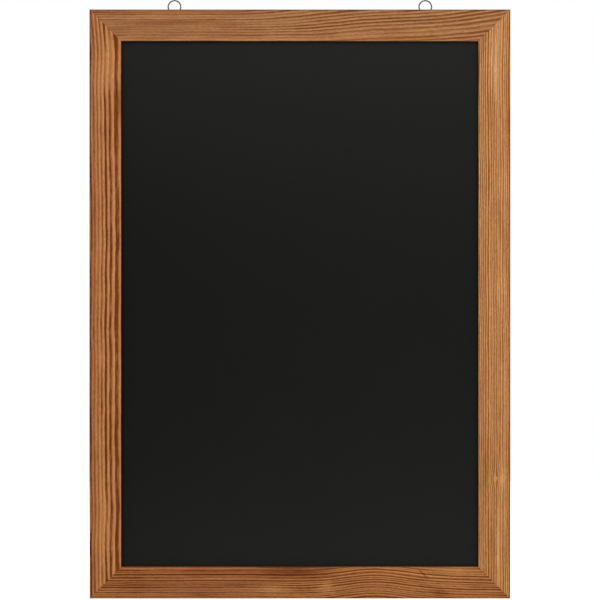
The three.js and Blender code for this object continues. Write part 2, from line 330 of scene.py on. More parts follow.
class Graph:
    """The nodes of a material or of the world."""

    def __init__(self, tree: bpy.types.NodeTree) -> None:
        """Take up a node tree.

        Args:
            tree: The tree.
        """
        self.tree = tree

    def node(
        self,
        kind: str,
        settings: Mapping[str, object] | None = None,
        sockets: Mapping[Union[str, int], Input] | None = None,
    ) -> bpy.types.Node:
        """Add any node.

        Args:
            kind: The node's type.
            settings: Its properties, which are set first.
            sockets: What each of its inputs is set or linked to.

        Returns:
            The node.
        """
        made = self.tree.nodes.new(kind)
        for key, setting in (settings or {}).items():
            setattr(made, key, setting)
        for key, value in (sockets or {}).items():
            self.feed(made.inputs[key], value)
        return made

    def feed(self, socket: bpy.types.NodeSocket, value: Input) -> None:
        """Set an input to a constant or link it to an output.

        Args:
            socket: The input.
            value: The constant, the wrapped value or the output.
        """
        if isinstance(value, Value):
            value = value.socket
        if isinstance(value, bpy.types.NodeSocket):
            self.tree.links.new(value, socket)
        else:
            socket.default_value = value

    def maths(self, operation: str, *operands: Number) -> Value:
        """Add a Math node.

        Args:
            operation: What it does.
            operands: The numbers that it takes.

        Returns:
            Its result.
        """
        made = self.node("ShaderNodeMath", {"operation": operation}, dict(enumerate(operands)))
        return Value(self, made.outputs[0])

    def ray(self, kind: str) -> Value:
        """Whether the light path is of one kind, as 1 or 0."""
        return Value(self, self.node("ShaderNodeLightPath").outputs[f"Is {kind} Ray"])

    def noise(
        self,
        places: Places,
        reach: Union[float, Sequence[float]],
        detail: float = 2.0,
        rough: float = 0.5,
        seed: float = 0.0,
    ) -> Value:
        """Smooth noise in space, from -1 to 1.

        Args:
            places: Where to read it.
            reach: How far its swells reach, every way or along each of the three places.
            detail: How many finer layers it has.
            rough: How strong the finer layers are.
            seed: What sets it apart from noise of the same reach.

        Returns:
            The noise, with a mean of 0.
        """
        reaches = reach if isinstance(reach, Sequence) else (reach,) * len(places)
        parts = [place / length for place, length in zip(places, reaches)]
        if seed:
            parts[0] = parts[0] + seed
        place = self.node("ShaderNodeCombineXYZ", sockets=dict(enumerate(parts))).outputs[0]
        sockets = {"Vector": place, "Scale": 1.0, "Detail": detail, "Roughness": rough}
        made = self.node("ShaderNodeTexNoise", {"noise_dimensions": "3D"}, sockets)
        return (Value(self, made.outputs[0]) - 0.5) * 2.0

    def ripple(self, along: Value, detail: float = 0.0) -> Value:
        """Smooth noise along one line, about 1 long, from -1 to 1.

        Args:
            along: The place on the line.
            detail: How many finer layers it has.

        Returns:
            The noise, with a mean of 0.
        """
        sockets = {"W": along, "Scale": 1.0, "Detail": detail}
        made = self.node("ShaderNodeTexNoise", {"noise_dimensions": "1D"}, sockets)
        return (Value(self, made.outputs[0]) - 0.5) * 2.0

    def lot(self, number: Value) -> Value:
        """A random value from 0 to 1 for each whole number."""
        made = self.node("ShaderNodeTexWhiteNoise", {"noise_dimensions": "1D"}, {"W": number})
        return Value(self, made.outputs["Value"])

    def blend(
        self, share: Number, first: Input, second: Input, mode: str = "MIX"
    ) -> bpy.types.NodeSocket:
        """Mix two colours.

        Args:
            share: How much of the second there is.
            first: The first colour.
            second: The second colour.
            mode: How the second acts on the first.

        Returns:
            The mixed colour.
        """
        settings = {"data_type": "RGBA", "blend_type": mode}
        sockets = {MIX_FACTOR: share, MIX_FIRST: first, MIX_SECOND: second}
        return self.node("ShaderNodeMix", settings, sockets).outputs[MIX_RESULT]

    def tinted(self, colour: Input, tints: Iterable[tuple[Value, Tint]]) -> Input:
        """Multiply a colour by one tint after another.

        Args:
            colour: The colour.
            tints: The tints in order, each with how far it acts, from 0 to 1.

        Returns:
            The tinted colour.
        """
        for share, tint in tints:
            colour = self.blend(share, colour, (*tint, 1.0), "MULTIPLY")
        return colour

    def shade(self, colour: Input, strength: Value) -> bpy.types.NodeSocket:
        """Make a colour lighter or darker.

        Args:
            colour: The colour.
            strength: The factor that it is multiplied by.

        Returns:
            The new colour.
        """
        if not isinstance(colour, bpy.types.NodeSocket):
            colour = colour[:3]
        sockets = {0: colour, "Scale": strength}
        return self.node("ShaderNodeVectorMath", {"operation": "SCALE"}, sockets).outputs[0]

    def relief(self, height: Value, depth: float) -> bpy.types.NodeSocket:
        """Light the surface as if it were raised.

        Args:
            height: How high each place is, from 0 to 1.
            depth: The real height that 1 stands for.

        Returns:
            The changed normal.
        """
        bump = self.node("ShaderNodeBump", sockets={"Height": height, "Distance": depth})
        return bump.outputs[0]


class Surface(Graph):
    """The nodes of one material, ending in its surface shader."""

    def __init__(self, name: str) -> None:
        """Start an empty material.

        Args:
            name: The material's name.
        """
        self.material = bpy.data.materials.new(name)
        self.material.use_nodes = True
        super().__init__(self.material.node_tree)
        self.tree.nodes.clear()
        self.shader = self.node("ShaderNodeBsdfPrincipled")
        self.node("ShaderNodeOutputMaterial", sockets={"Surface": self.shader.outputs["BSDF"]})

    def places(self) -> tuple[Value, Value, Value]:
        """The place on the piece, as X, Y and Z in metres.

        Returns:
            The three places.
        """
        place = self.node("ShaderNodeTexCoord").outputs["Object"]
        parts = self.node("ShaderNodeSeparateXYZ", sockets={0: place})
        return tuple(Value(self, output) for output in parts.outputs)

    def finish(self, **sockets: Input) -> bpy.types.Material:
        """Feed the surface shader.

        Args:
            sockets: Its inputs, with underscores in place of spaces.

        Returns:
            The finished material.
        """
        for name, value in sockets.items():
            self.feed(self.shader.inputs[name.replace("_", " ")], value)
        return self.material


@dataclass(frozen=True)
class Swell:
    """A stretch where the growth rings swing aside, as they do beside a branch."""

    along: float
    shift: float
    length: float


@dataclass(frozen=True)
class Patch:
    """A soft-edged stretch where the stain has taken differently."""

    along: float
    across: float
    length: float
    width: float
    tint: Tint
    fade: float = 0.0


@dataclass(frozen=True)
class Lean:
    """A place from which the grain runs off at a slope, and how much later it does so further in."""

    start: float
    slope: float
    skew: float = 0.0
    ease: float = 50 * MM


@dataclass(frozen=True)
class Knot:
    """A small round knot, that the growth rings part round."""

    along: float
    across: float
    reach: float
    spread: float
    core_length: float
    core_width: float
    parting: float = 0.8
    core_tint: Tint = (1.2, 1.36, 1.5)


@dataclass(frozen=True)
class Scar:
    """A short dark mark across the grain, such as a bark pocket."""

    along: float
    across: float
    length: float
    width: float
    turn: float
    tint: Tint = (0.42, 0.34, 0.3)


@dataclass(frozen=True)
class Figure:
    """Noise drawn out along the grain: the reach of its swells, how strongly it shows, how fine it is.

    Its way, 1 or -1, is how the timber's seed moves it, so that two figures don't fall together.
    """

    length: float
    width: float
    strength: float = 1.0
    detail: float = 3.0
    rough: float = 0.5
    way: int = 1


def spot(ahead: Value, aside: Value, length: float, width: float) -> Value:
    """A soft-edged spot.

    Args:
        ahead: How far each place is from the spot's middle, along it.
        aside: How far it is across it.
        length: How far the spot reaches along.
        width: How far it reaches across.

    Returns:
        1 in the middle, fading to 0.
    """
    return (ahead / length).bell() * (aside / width).bell()


@dataclass(frozen=True)
class Timber:
    """One length of stained softwood, and how it was sawn from its log.

    Places run along the length from its middle, across it from the outer edge, and in depth from
    the front face. A pair of numbers with RISE in its name is where a smooth step starts and ends,
    LATEWOOD_RISE as seen from where a ring's dark part starts.

    Attributes:
        phase: How far out the rings are moved, in rings.
        latewood_share: How much of each ring is dark.
        unevenness: How far a ring may lie from its even place, in rings.
        wander: How far the grain wanders from side to side.
        warp: How far the rings stray from round.
        streaks: How strongly the thin streaks show.
        ring_lot: How much of each ring's darkness is left to chance.
        sight_edge_painted_shade: Painted shade on the edge beside the panel, for the shadow of the lip.
    """

    side: Side
    seed: float
    pith_across: float
    pith_depth: float
    ring_width: float
    earlywood: Colour
    latewood: Colour
    phase: float = 0.0
    latewood_share: float = 0.55
    unevenness: float = 0.5
    wander: float = 1.2 * MM
    warp: float = 0.5 * MM
    streaks: float = 0.16
    ring_lot: float = 1.0
    # painted shade: a dark tint on the lip's inner face and edge, where the shadow between the frame and the
    # panel falls
    sight_edge_painted_shade: Tint = (0.16, 0.09, 0.06)
    leans: tuple[Lean, ...] = ()
    swells: tuple[Swell, ...] = ()
    patches: tuple[Patch, ...] = ()
    knots: tuple[Knot, ...] = ()
    scars: tuple[Scar, ...] = ()

    WANDER_LENGTH = 110 * MM
    WANDER_DETAIL = 1.0
    UNEVEN_RINGS = 3.5
    WARP = Figure(38 * MM, 8 * MM)
    CLOUD = Figure(70 * MM, 9 * MM, strength=0.5)
    HUE = Figure(32 * MM, 4.5 * MM, strength=0.4, way=-1)
    BREAK = Figure(15 * MM, 1.8 * MM, strength=0.7, detail=2.0)
    STREAK = Figure(45 * MM, 1.0 * MM, detail=4.0, rough=0.6)
    FIBRE = Figure(16 * MM, 0.4 * MM, strength=0.24, rough=0.6)
    FLECK = Figure(5 * MM, 1.1 * MM, strength=0.34, detail=2.0, way=-1)
    PORE = Figure(3 * MM, 0.16 * MM, strength=0.2, detail=1.0)

    LATEWOOD_RISE = (-0.25, 0.15)
    RING_END_RISE = (1.0, 0.86)
    RING_STRENGTH = 1.15
    LOT_MIDDLE = 0.6
    CLOUD_RISE = (-0.1, 0.8)
    HUE_RISE = (0.05, 0.5)
    PORE_RISE = (0.25, 0.6)
    GRAIN_RISE = (0.0, 0.3)
    ARRIS_SIDE_RISE = (1.6 * MM, 0.4 * MM)
    ARRIS_FACE_RISE = (2.6 * MM, 1.8 * MM)
    JOINT_RISE = (0.4 * MM, 0.05 * MM)
    SIGHT_EDGE_INSETS = (0.5 * MM, 0.15 * MM)

    CLOUD_TINT = (0.76, 0.66, 0.56)
    GOLDEN_TINT = (1.1, 1.12, 0.86)
    RUDDY_TINT = (0.97, 0.82, 0.82)
    PALE_TINT = (1.03, 1.07, 1.18)
    RICH_TINT = (0.97, 0.91, 0.74)
    # partly a stain that soaks in deeper on the outer arris, partly painted shade where the round turns away
    # from the light
    ARRIS_STAIN_AND_SHADE = (0.5, 0.44, 0.38)
    JOINT_TINT = (0.74, 0.68, 0.62)
    PATCH_CLOUDING = 0.8

    ROUGHNESS = 0.5
    LATEWOOD_GLOSS = 0.1
    FIBRE_ROUGHNESS = 0.05
    SPECULAR = 0.03
    LATEWOOD_HEIGHT = 0.6
    FIBRE_HEIGHT = 0.4
    RELIEF = 0.05 * MM

    def own_places(self, graph: Surface, sizes: BoardSizes) -> tuple[Value, Value, Value]:
        """Places along, across and into this length of moulding.

        Args:
            graph: The material's graph.
            sizes: The board's sizes.

        Returns:
            The three places, in metres.
        """
        x, y, z = graph.places()
        centre = sizes.centre
        along = z - centre.z if self.side.upright else x - centre.x
        across = {
            Side.TOP: lambda: sizes.top - z,
            Side.BOTTOM: lambda: z - sizes.bottom,
            Side.LEFT: lambda: x - sizes.left,
            Side.RIGHT: lambda: sizes.right - x,
        }[self.side]()
        return along, across, y - sizes.front

    def parted(self, along: Value, across: Value) -> Value:
        """Push the growth rings apart round each knot.

        Args:
            along: Places along the length.
            across: Places across it.

        Returns:
            Places across the grain.
        """
        for knot in self.knots:
            aside = across - knot.across
            near_knot = spot(along - knot.along, aside, knot.reach, knot.spread)
            across = across - aside * near_knot * knot.parting
        return across

    def shift(self, graph: Graph, along: Value, across: Value) -> Value:
        """Swing the grain aside, as it wanders, leans and swells.

        Args:
            graph: The material's graph.
            along: Places along the length.
            across: Places across it.

        Returns:
            How far the grain has swung at each place.
        """
        wandered = graph.ripple(along / self.WANDER_LENGTH + self.seed, self.WANDER_DETAIL)
        shift = wandered * self.wander
        for lean in self.leans:
            turned = along - across * lean.skew - lean.start
            eased = ((turned * turned + lean.ease**2).root() + turned) / 2
            shift = shift + eased * lean.slope
        for swell in self.swells:
            shift = shift + ((along - swell.along) / swell.length).bell() * swell.shift
        return shift

    def figured(self, graph: Graph, figure: Figure, places: Places) -> Value:
        """Draw one of the wood's figures.

        Args:
            graph: The material's graph.
            figure: The figure.
            places: Places along, across and into the wood.

        Returns:
            The noise, from -1 to 1.
        """
        reach = (figure.length, figure.width, figure.width)
        return graph.noise(places, reach, figure.detail, figure.rough, self.seed * figure.way)

    def rings(self, graph: Graph, along: Value, aside: Value, depth: Value) -> Value:
        """Count the growth rings from the pith to each place.

        Args:
            graph: The material's graph.
            along: Places along the length.
            aside: Places across the grain.
            depth: Places into the wood.

        Returns:
            The count, with its fraction.
        """
        aside = aside - self.pith_across
        behind = depth - self.pith_depth
        warped = self.figured(graph, self.WARP, (along, aside, depth)) * self.warp
        radius = (aside * aside + behind * behind).root() + warped
        uneven = graph.ripple(radius / (self.UNEVEN_RINGS * self.ring_width) + self.seed)
        return radius / self.ring_width + uneven * self.unevenness + self.phase

    def scarred(self, scar: Scar, along: Value, across: Value) -> Value:
        """Find a scar.

        Args:
            scar: The scar.
            along: Places along the length.
            across: Places across it.

        Returns:
            1 on the scar, fading to 0.
        """
        run, rise = math.cos(scar.turn), math.sin(scar.turn)
        ahead, aside = along - scar.along, across - scar.across
        return spot(ahead * run + aside * rise, aside * run - ahead * rise, scar.length, scar.width)

    def edges(
        self, sizes: BoardSizes, along: Value, across: Value, depth: Value
    ) -> list[tuple[Value, Tint]]:
        """Find the outer arris, darker from stain and painted shade, the mitres, and the edge beside the
        panel, darker from painted shade.

        Args:
            sizes: The board's sizes.
            along: Places along the length.
            across: Places across it.
            depth: Places into the wood.

        Returns:
            Each edge, as 1 on it and 0 elsewhere, with its tint.
        """
        # a deeper stain and painted shade where the outer arris rounds away from the light
        arris = across.rise(*self.ARRIS_SIDE_RISE) * depth.rise(*self.ARRIS_FACE_RISE)
        from_joint = sizes.half_length(self.side) - across - abs(along)
        # the edge beside the panel gets painted shade, for the lip's inner face in shadow
        sight_edge = across.rise(*(sizes.moulding_width - inset for inset in self.SIGHT_EDGE_INSETS))
        return [
            (arris, self.ARRIS_STAIN_AND_SHADE),
            (from_joint.rise(*self.JOINT_RISE), self.JOINT_TINT),
            (sight_edge, self.sight_edge_painted_shade),
        ]

    def material(self, sizes: BoardSizes) -> bpy.types.Material:
        """Make the wood.

        Args:
            sizes: The board's sizes.

        Returns:
            The material for this length of moulding.
        """
        graph = Surface(f"stained_wood_{self.side.name.lower()}")
        along, across, depth = self.own_places(graph, sizes)
        swung = self.parted(along, across) - self.shift(graph, along, across)
        cloud = self.figured(graph, self.CLOUD, (along, across, depth))
        hue, broken, streak, fibre, fleck, pores = (
            self.figured(graph, figure, (along, swung, depth))
            for figure in (self.HUE, self.BREAK, self.STREAK, self.FIBRE, self.FLECK, self.PORE)
        )
        cores = [
            (knot, spot(along - knot.along, across - knot.across, knot.core_length, knot.core_width))
            for knot in self.knots
        ]
        stains = [
            (patch, spot(along - patch.along, swung - patch.across, patch.length, patch.width))
            for patch in self.patches
        ]

        rings = self.rings(graph, along, swung, depth)
        age = rings.fraction()
        late = age.rise(*(1 - self.latewood_share + place for place in self.LATEWOOD_RISE))
        late = late * age.rise(*self.RING_END_RISE)
        own_lot = graph.lot(rings.whole() + self.seed) * self.ring_lot
        strength = own_lot + self.RING_STRENGTH - self.ring_lot * self.LOT_MIDDLE
        clouded = 1 + cloud * self.CLOUD.strength + hue * self.HUE.strength
        strength = strength * (clouded + broken * self.BREAK.strength)
        for _, core in cores:
            strength = strength * (1 - core)
        for patch, stain in stains:
            if patch.fade:
                strength = strength * (1 - stain * patch.fade)
        late = late * strength

        colour = graph.blend(late, self.earlywood, self.latewood)
        tints = [
            (cloud.rise(*self.CLOUD_RISE), self.CLOUD_TINT),
            (hue.rise(*self.HUE_RISE), self.GOLDEN_TINT),
            ((-hue).rise(*self.HUE_RISE), self.RUDDY_TINT),
        ]
        tints += [(stain * (1 + cloud * self.PATCH_CLOUDING), patch.tint) for patch, stain in stains]
        tints += [(core, knot.core_tint) for knot, core in cores]
        tints += [(self.scarred(scar, along, across), scar.tint) for scar in self.scars]
        colour = graph.tinted(colour, tints)

        grain = streak * self.streaks + fibre * self.FIBRE.strength + fleck * self.FLECK.strength
        grain = grain - pores.rise(*self.PORE_RISE) * self.PORE.strength
        colour = graph.shade(colour, 1 + grain)
        tints = [
            (grain.rise(*self.GRAIN_RISE), self.PALE_TINT),
            ((-grain).rise(*self.GRAIN_RISE), self.RICH_TINT),
        ]
        colour = graph.tinted(colour, tints + self.edges(sizes, along, across, depth))
        height = late * self.LATEWOOD_HEIGHT + fibre * self.FIBRE_HEIGHT
        return graph.finish(
            Base_Color=colour,
            Roughness=self.ROUGHNESS - late * self.LATEWOOD_GLOSS + fibre * self.FIBRE_ROUGHNESS,
            Specular_IOR_Level=self.SPECULAR,
            Normal=graph.relief(height, self.RELIEF),
        )


TIMBERS = (
    Timber(
        side=Side.LEFT,
        seed=3.7,
        pith_across=48 * MM,
        pith_depth=45 * MM,
        ring_width=2.75 * MM,
        phase=0.38,
        earlywood=linear(188, 127, 80),
        latewood=linear(108, 53, 16),
        latewood_share=0.51,
        unevenness=0.15,
        wander=2.4 * MM,
        streaks=0.22,
        swells=(
            Swell(along=350 * MM, shift=-4.5 * MM, length=38 * MM),
            Swell(along=255 * MM, shift=-1.5 * MM, length=30 * MM),
        ),
        patches=(
            Patch(0 * MM, 8 * MM, 190 * MM, 7 * MM, (0.98, 0.96, 0.94), 0.25),
            Patch(0 * MM, 3.5 * MM, 600 * MM, 5 * MM, (0.76, 0.68, 0.64)),
            Patch(0 * MM, 32.6 * MM, 500 * MM, 2 * MM, (1.08, 1.08, 1.08), 0.3),
            Patch(285 * MM, 22 * MM, 45 * MM, 8 * MM, (1.08, 1.12, 1.1), 0.7),
            Patch(238 * MM, 36.5 * MM, 22 * MM, 4 * MM, (0.62, 0.5, 0.48)),
            Patch(-260 * MM, 17 * MM, 50 * MM, 6 * MM, (1.08, 1.1, 1.0), 0.7),
        ),
    ),
    Timber(
        side=Side.RIGHT,
        seed=11.2,
        pith_across=-110 * MM,
        pith_depth=35 * MM,
        ring_width=2.4 * MM,
        earlywood=linear(203, 147, 97),
        latewood=linear(147, 90, 39),
        streaks=0.34,
        # lighter painted shade on this sight edge
        sight_edge_painted_shade=(0.42, 0.32, 0.26),
        patches=(
            Patch(280 * MM, 17 * MM, 50 * MM, 1.6 * MM, (1.2, 1.42, 1.75), 0.7),
            Patch(290 * MM, 21.4 * MM, 35 * MM, 1.1 * MM, (1.22, 1.45, 1.75), 0.6),
            Patch(216 * MM, 2.5 * MM, 14 * MM, 2.5 * MM, (0.86, 0.68, 0.56)),
            Patch(168 * MM, 12.2 * MM, 9 * MM, 2.2 * MM, (0.84, 0.74, 0.64)),
            Patch(230 * MM, 2 * MM, 110 * MM, 2.5 * MM, (0.95, 0.78, 0.6)),
            Patch(-260 * MM, 19 * MM, 110 * MM, 30 * MM, (0.92, 0.9, 0.85)),
            Patch(-206 * MM, 9 * MM, 17 * MM, 5 * MM, (1.12, 1.22, 1.22), 0.4),
            Patch(-208 * MM, 12.5 * MM, 5 * MM, 4 * MM, (1.1, 1.16, 1.16), 0.5),
            Patch(-210 * MM, 27 * MM, 14 * MM, 5 * MM, (0.9, 0.98, 0.8), 0.5),
            Patch(-172 * MM, 32 * MM, 16 * MM, 5 * MM, (0.96, 0.88, 0.86), 0.4),
            Patch(-292 * MM, 14.5 * MM, 40 * MM, 1.4 * MM, (1.2, 1.32, 1.4), 0.6),
        ),
        knots=(
            Knot(
                along=-207 * MM,
                across=17.2 * MM,
                reach=12 * MM,
                spread=6 * MM,
                core_length=2.3 * MM,
                core_width=2.3 * MM,
                parting=0.75,
            ),
        ),
    ),
    Timber(
        side=Side.TOP,
        seed=21.9,
        pith_across=75 * MM,
        pith_depth=35 * MM,
        ring_width=2.6 * MM,
        earlywood=linear(175, 125, 84),
        latewood=linear(123, 72, 32),
        latewood_share=0.5,
        unevenness=0.3,
        streaks=0.3,
        ring_lot=0.7,
        leans=(
            Lean(start=-80 * MM, slope=-0.075, skew=3.5, ease=30 * MM),
            Lean(start=80 * MM, slope=0.035, ease=30 * MM),
            Lean(start=175 * MM, slope=-0.07, skew=1.0, ease=20 * MM),
        ),
        patches=(
            Patch(-170 * MM, 20 * MM, 160 * MM, 30 * MM, (0.89, 0.83, 0.78)),
            Patch(-150 * MM, 22 * MM, 130 * MM, 16 * MM, (0.9, 0.89, 0.89), 0.75),
            Patch(-150 * MM, 15.5 * MM, 130 * MM, 2.5 * MM, (0.8, 0.72, 0.66), 0.5),
            Patch(-120 * MM, 8.6 * MM, 130 * MM, 0.7 * MM, (1.12, 1.2, 1.22), 0.8),
            Patch(-10 * MM, 3.5 * MM, 70 * MM, 5 * MM, (0.84, 0.78, 0.73)),
            Patch(-60 * MM, 35.6 * MM, 200 * MM, 1.4 * MM, (1.12, 1.16, 1.16), 0.9),
            Patch(-150 * MM, 11.3 * MM, 110 * MM, 0.6 * MM, (1.2, 1.3, 1.35), 0.8),
            Patch(-150 * MM, 5.8 * MM, 120 * MM, 0.6 * MM, (0.76, 0.66, 0.58), 0.5),
            Patch(-150 * MM, 2.5 * MM, 120 * MM, 2.5 * MM, (0.95, 0.78, 0.68), 0.5),
            Patch(-100 * MM, 27.2 * MM, 110 * MM, 0.8 * MM, (0.92, 0.75, 0.7)),
            Patch(100 * MM, 38 * MM, 120 * MM, 8 * MM, (0.94, 0.84, 0.78), 0.6),
            Patch(190 * MM, 28 * MM, 40 * MM, 12 * MM, (1.02, 1.06, 1.06)),
        ),
    ),
    Timber(
        side=Side.BOTTOM,
        seed=33.4,
        pith_across=80 * MM,
        pith_depth=30 * MM,
        ring_width=2.65 * MM,
        phase=0.2,
        earlywood=linear(172, 113, 68),
        latewood=linear(112, 59, 24),
        latewood_share=0.56,
        unevenness=0.55,
        streaks=0.32,
        ring_lot=1.2,
        # painted shade barely shows here, because this sight edge looks up into the light
        sight_edge_painted_shade=(0.9, 0.92, 1.0),
        leans=(Lean(start=100 * MM, slope=-0.02),),
        warp=0.8 * MM,
        swells=(Swell(along=88 * MM, shift=6.5 * MM, length=48 * MM),),
        patches=(
            Patch(-140 * MM, 35.5 * MM, 90 * MM, 2.5 * MM, (1.0, 0.84, 0.82), 0.7),
            Patch(-130 * MM, 14 * MM, 90 * MM, 12 * MM, (0.82, 0.77, 0.82), 0.2),
            Patch(110 * MM, 26 * MM, 60 * MM, 10 * MM, (1.1, 1.12, 1.06), 0.2),
            Patch(-110 * MM, 33.2 * MM, 100 * MM, 1.5 * MM, (0.62, 0.47, 0.4)),
            Patch(-100 * MM, 28.3 * MM, 80 * MM, 1.2 * MM, (0.7, 0.52, 0.45)),
            Patch(-90 * MM, 24.8 * MM, 80 * MM, 0.7 * MM, (1.25, 1.3, 1.35), 0.6),
            Patch(-110 * MM, 13 * MM, 80 * MM, 9 * MM, (0.97, 0.95, 1.0), 0.4),
            Patch(-8 * MM, 33 * MM, 44 * MM, 7 * MM, (0.46, 0.34, 0.3), 0.5),
            Patch(-32 * MM, 12 * MM, 17 * MM, 7 * MM, (1.18, 1.34, 1.3), 0.5),
            Patch(31 * MM, 14 * MM, 10 * MM, 9 * MM, (1.16, 1.3, 1.25), 0.5),
            Patch(170 * MM, 18 * MM, 70 * MM, 18 * MM, (1.14, 1.2, 1.24), 0.2),
            Patch(150 * MM, 27.5 * MM, 50 * MM, 0.8 * MM, (1.2, 1.3, 1.4), 0.6),
            Patch(155 * MM, 16.5 * MM, 45 * MM, 0.8 * MM, (1.18, 1.28, 1.35), 0.6),
            Patch(190 * MM, 36 * MM, 35 * MM, 3.5 * MM, (1.15, 1.22, 1.1), 0.7),
            Patch(167 * MM, 9 * MM, 9 * MM, 3.5 * MM, (0.7, 0.56, 0.5)),
        ),
        scars=(Scar(along=146 * MM, across=30 * MM, length=6 * MM, width=1.0 * MM, turn=math.radians(-45)),),
    ),
)


@dataclass(frozen=True)
class ChalkSheet:
    """Hardboard with a matt black writing lacquer on its front face."""

    lacquer: Colour = linear(22, 22.2, 21)
    hardboard: Colour = linear(112, 76, 48)
    dark_fibre: Colour = linear(74, 47, 29)
    grit: float = 0.35 * MM
    grit_shade: float = 0.06
    grit_roughness: float = 0.06
    grit_height: float = 0.25
    mottle: float = 60 * MM
    mottle_shade: float = 0.1
    mottle_roughness: float = 0.03
    smear: float = 5 * MM
    smear_shade: float = 0.12
    # painted light on the black: how much lighter it gets towards the top and bottom and towards the right,
    # and how far below the middle it is darkest
    painted_light: float = 0.8
    painted_light_lean: float = 0.15
    darkest_below_middle: float = 15 * MM
    strand_length: float = 3 * MM
    strand_width: float = 0.5 * MM
    strand_rise: tuple[float, float] = (-0.3, 0.5)
    strand_height: float = 0.5
    screen_pitch: float = 1.4 * MM
    screen_height: float = 0.5
    lacquer_depth: float = 0.5 * MM
    lacquer_edge: float = 0.1 * MM
    lacquer_roughness: float = 0.72
    added_roughness_behind: float = 0.15
    specular: float = 0.05
    relief: float = 0.12 * MM

    def material(self, sizes: BoardSizes) -> bpy.types.Material:
        """Make the sheet's material.

        Args:
            sizes: The board's sizes.

        Returns:
            Black on the writing face and brown behind it.
        """
        graph = Surface("chalk_lacquer_on_hardboard")
        places = x, y, z = graph.places()
        grit = graph.noise(places, self.grit)
        mottle = graph.noise(places, self.mottle, detail=3.0)
        smear = graph.noise(places, self.smear, detail=4.0, rough=0.6)
        half_height = sizes.half_length(Side.LEFT) - sizes.moulding_width
        half_width = sizes.half_length(Side.TOP) - sizes.moulding_width
        # painted light: the black is lighter away from a line a little below the middle and towards the
        # right, standing in for the lamps' light on the lacquer
        from_darkest = (z - sizes.centre.z + self.darkest_below_middle) / half_height
        painted_light = from_darkest * from_darkest * self.painted_light + x / half_width * self.painted_light_lean
        shade = 1 + painted_light + mottle * self.mottle_shade + smear * self.smear_shade + grit * self.grit_shade
        face = graph.shade(self.lacquer, shade)

        behind = (y - sizes.lip_back).rise(self.lacquer_depth, self.lacquer_depth + self.lacquer_edge)
        strand = (self.strand_length, self.strand_width, self.strand_width)
        strands = graph.noise(places, strand, detail=4.0, rough=0.7)
        brown = graph.blend(strands.rise(*self.strand_rise), self.dark_fibre, self.hardboard)
        turn = 2 * math.pi / self.screen_pitch
        screen = (x * turn).sine() * (z * turn).sine()
        height_behind = screen * self.screen_height + strands * self.strand_height
        height = grit * (1 - behind) * self.grit_height + height_behind * behind
        roughness = self.lacquer_roughness + grit * self.grit_roughness + mottle * self.mottle_roughness
        return graph.finish(
            Base_Color=graph.blend(behind, face, brown),
            Roughness=roughness + behind * self.added_roughness_behind,
            Specular_IOR_Level=self.specular,
            Normal=graph.relief(height, self.relief),
        )


class Plating(Enum):
    """The finishes of the steel pieces: colour, roughness, and how much each is clouded."""

    BRONZED = (linear(74, 62, 51), 0.3, 0.06)
    ZINC = (linear(176, 178, 181), 0.36, 0.14)
    BLUED = (linear(96, 100, 108), 0.42, 0.2)


@dataclass(frozen=True)
class PlatedSteel:
    """Steel under a thin metal plating, with faint rolling marks and cloudy patches."""

    plating: Plating
    cloud: float = 2.2 * MM
    cloud_roughness: float = 0.08
    scratch_length: float = 6 * MM
    scratch_width: float = 0.12 * MM
    scratch_shade: float = 0.05
    scratch_roughness: float = 0.04
    scratch_depth: float = 0.004 * MM

    def material(self) -> bpy.types.Material:
        """Make the metal.

        Returns:
            The metal's material.
        """
        colour, roughness, clouding = self.plating.value
        graph = Surface(f"plated_steel_{self.plating.name.lower()}")
        places = graph.places()
        cloud = graph.noise(places, self.cloud, detail=3.0)
        scratch = graph.noise(places, (self.scratch_width, self.scratch_width, self.scratch_length))
        return graph.finish(
            Base_Color=graph.shade(colour, 1 + cloud * clouding + scratch * self.scratch_shade),
            Metallic=1.0,
            Roughness=roughness + cloud * self.cloud_roughness + scratch * self.scratch_roughness,
            Normal=graph.relief(scratch, self.scratch_depth),
        )


def alone(thing: bpy.types.Object) -> None:
    """Make an object the only one selected, and the active one.

    Args:
        thing: The object.
    """
    bpy.ops.object.select_all(action="DESELECT")
    thing.select_set(True)
    bpy.context.view_layer.objects.active = thing


def near(first: float, second: float) -> bool:
    """Whether two places are the same within a hair."""
    return abs(first - second) < SAME_PLACE


def drawn_out(x: float, y: float, z: float) -> None:
    """In edit mode, extrude what is selected by a distance along each axis."""
    bpy.ops.mesh.extrude_region_move(TRANSFORM_OT_translate={"value": (x, y, z)})


def facing(direction: Vector) -> Euler:
    """The turn that points +Z in a direction."""
    return direction.to_track_quat("Z", "Y").to_euler()


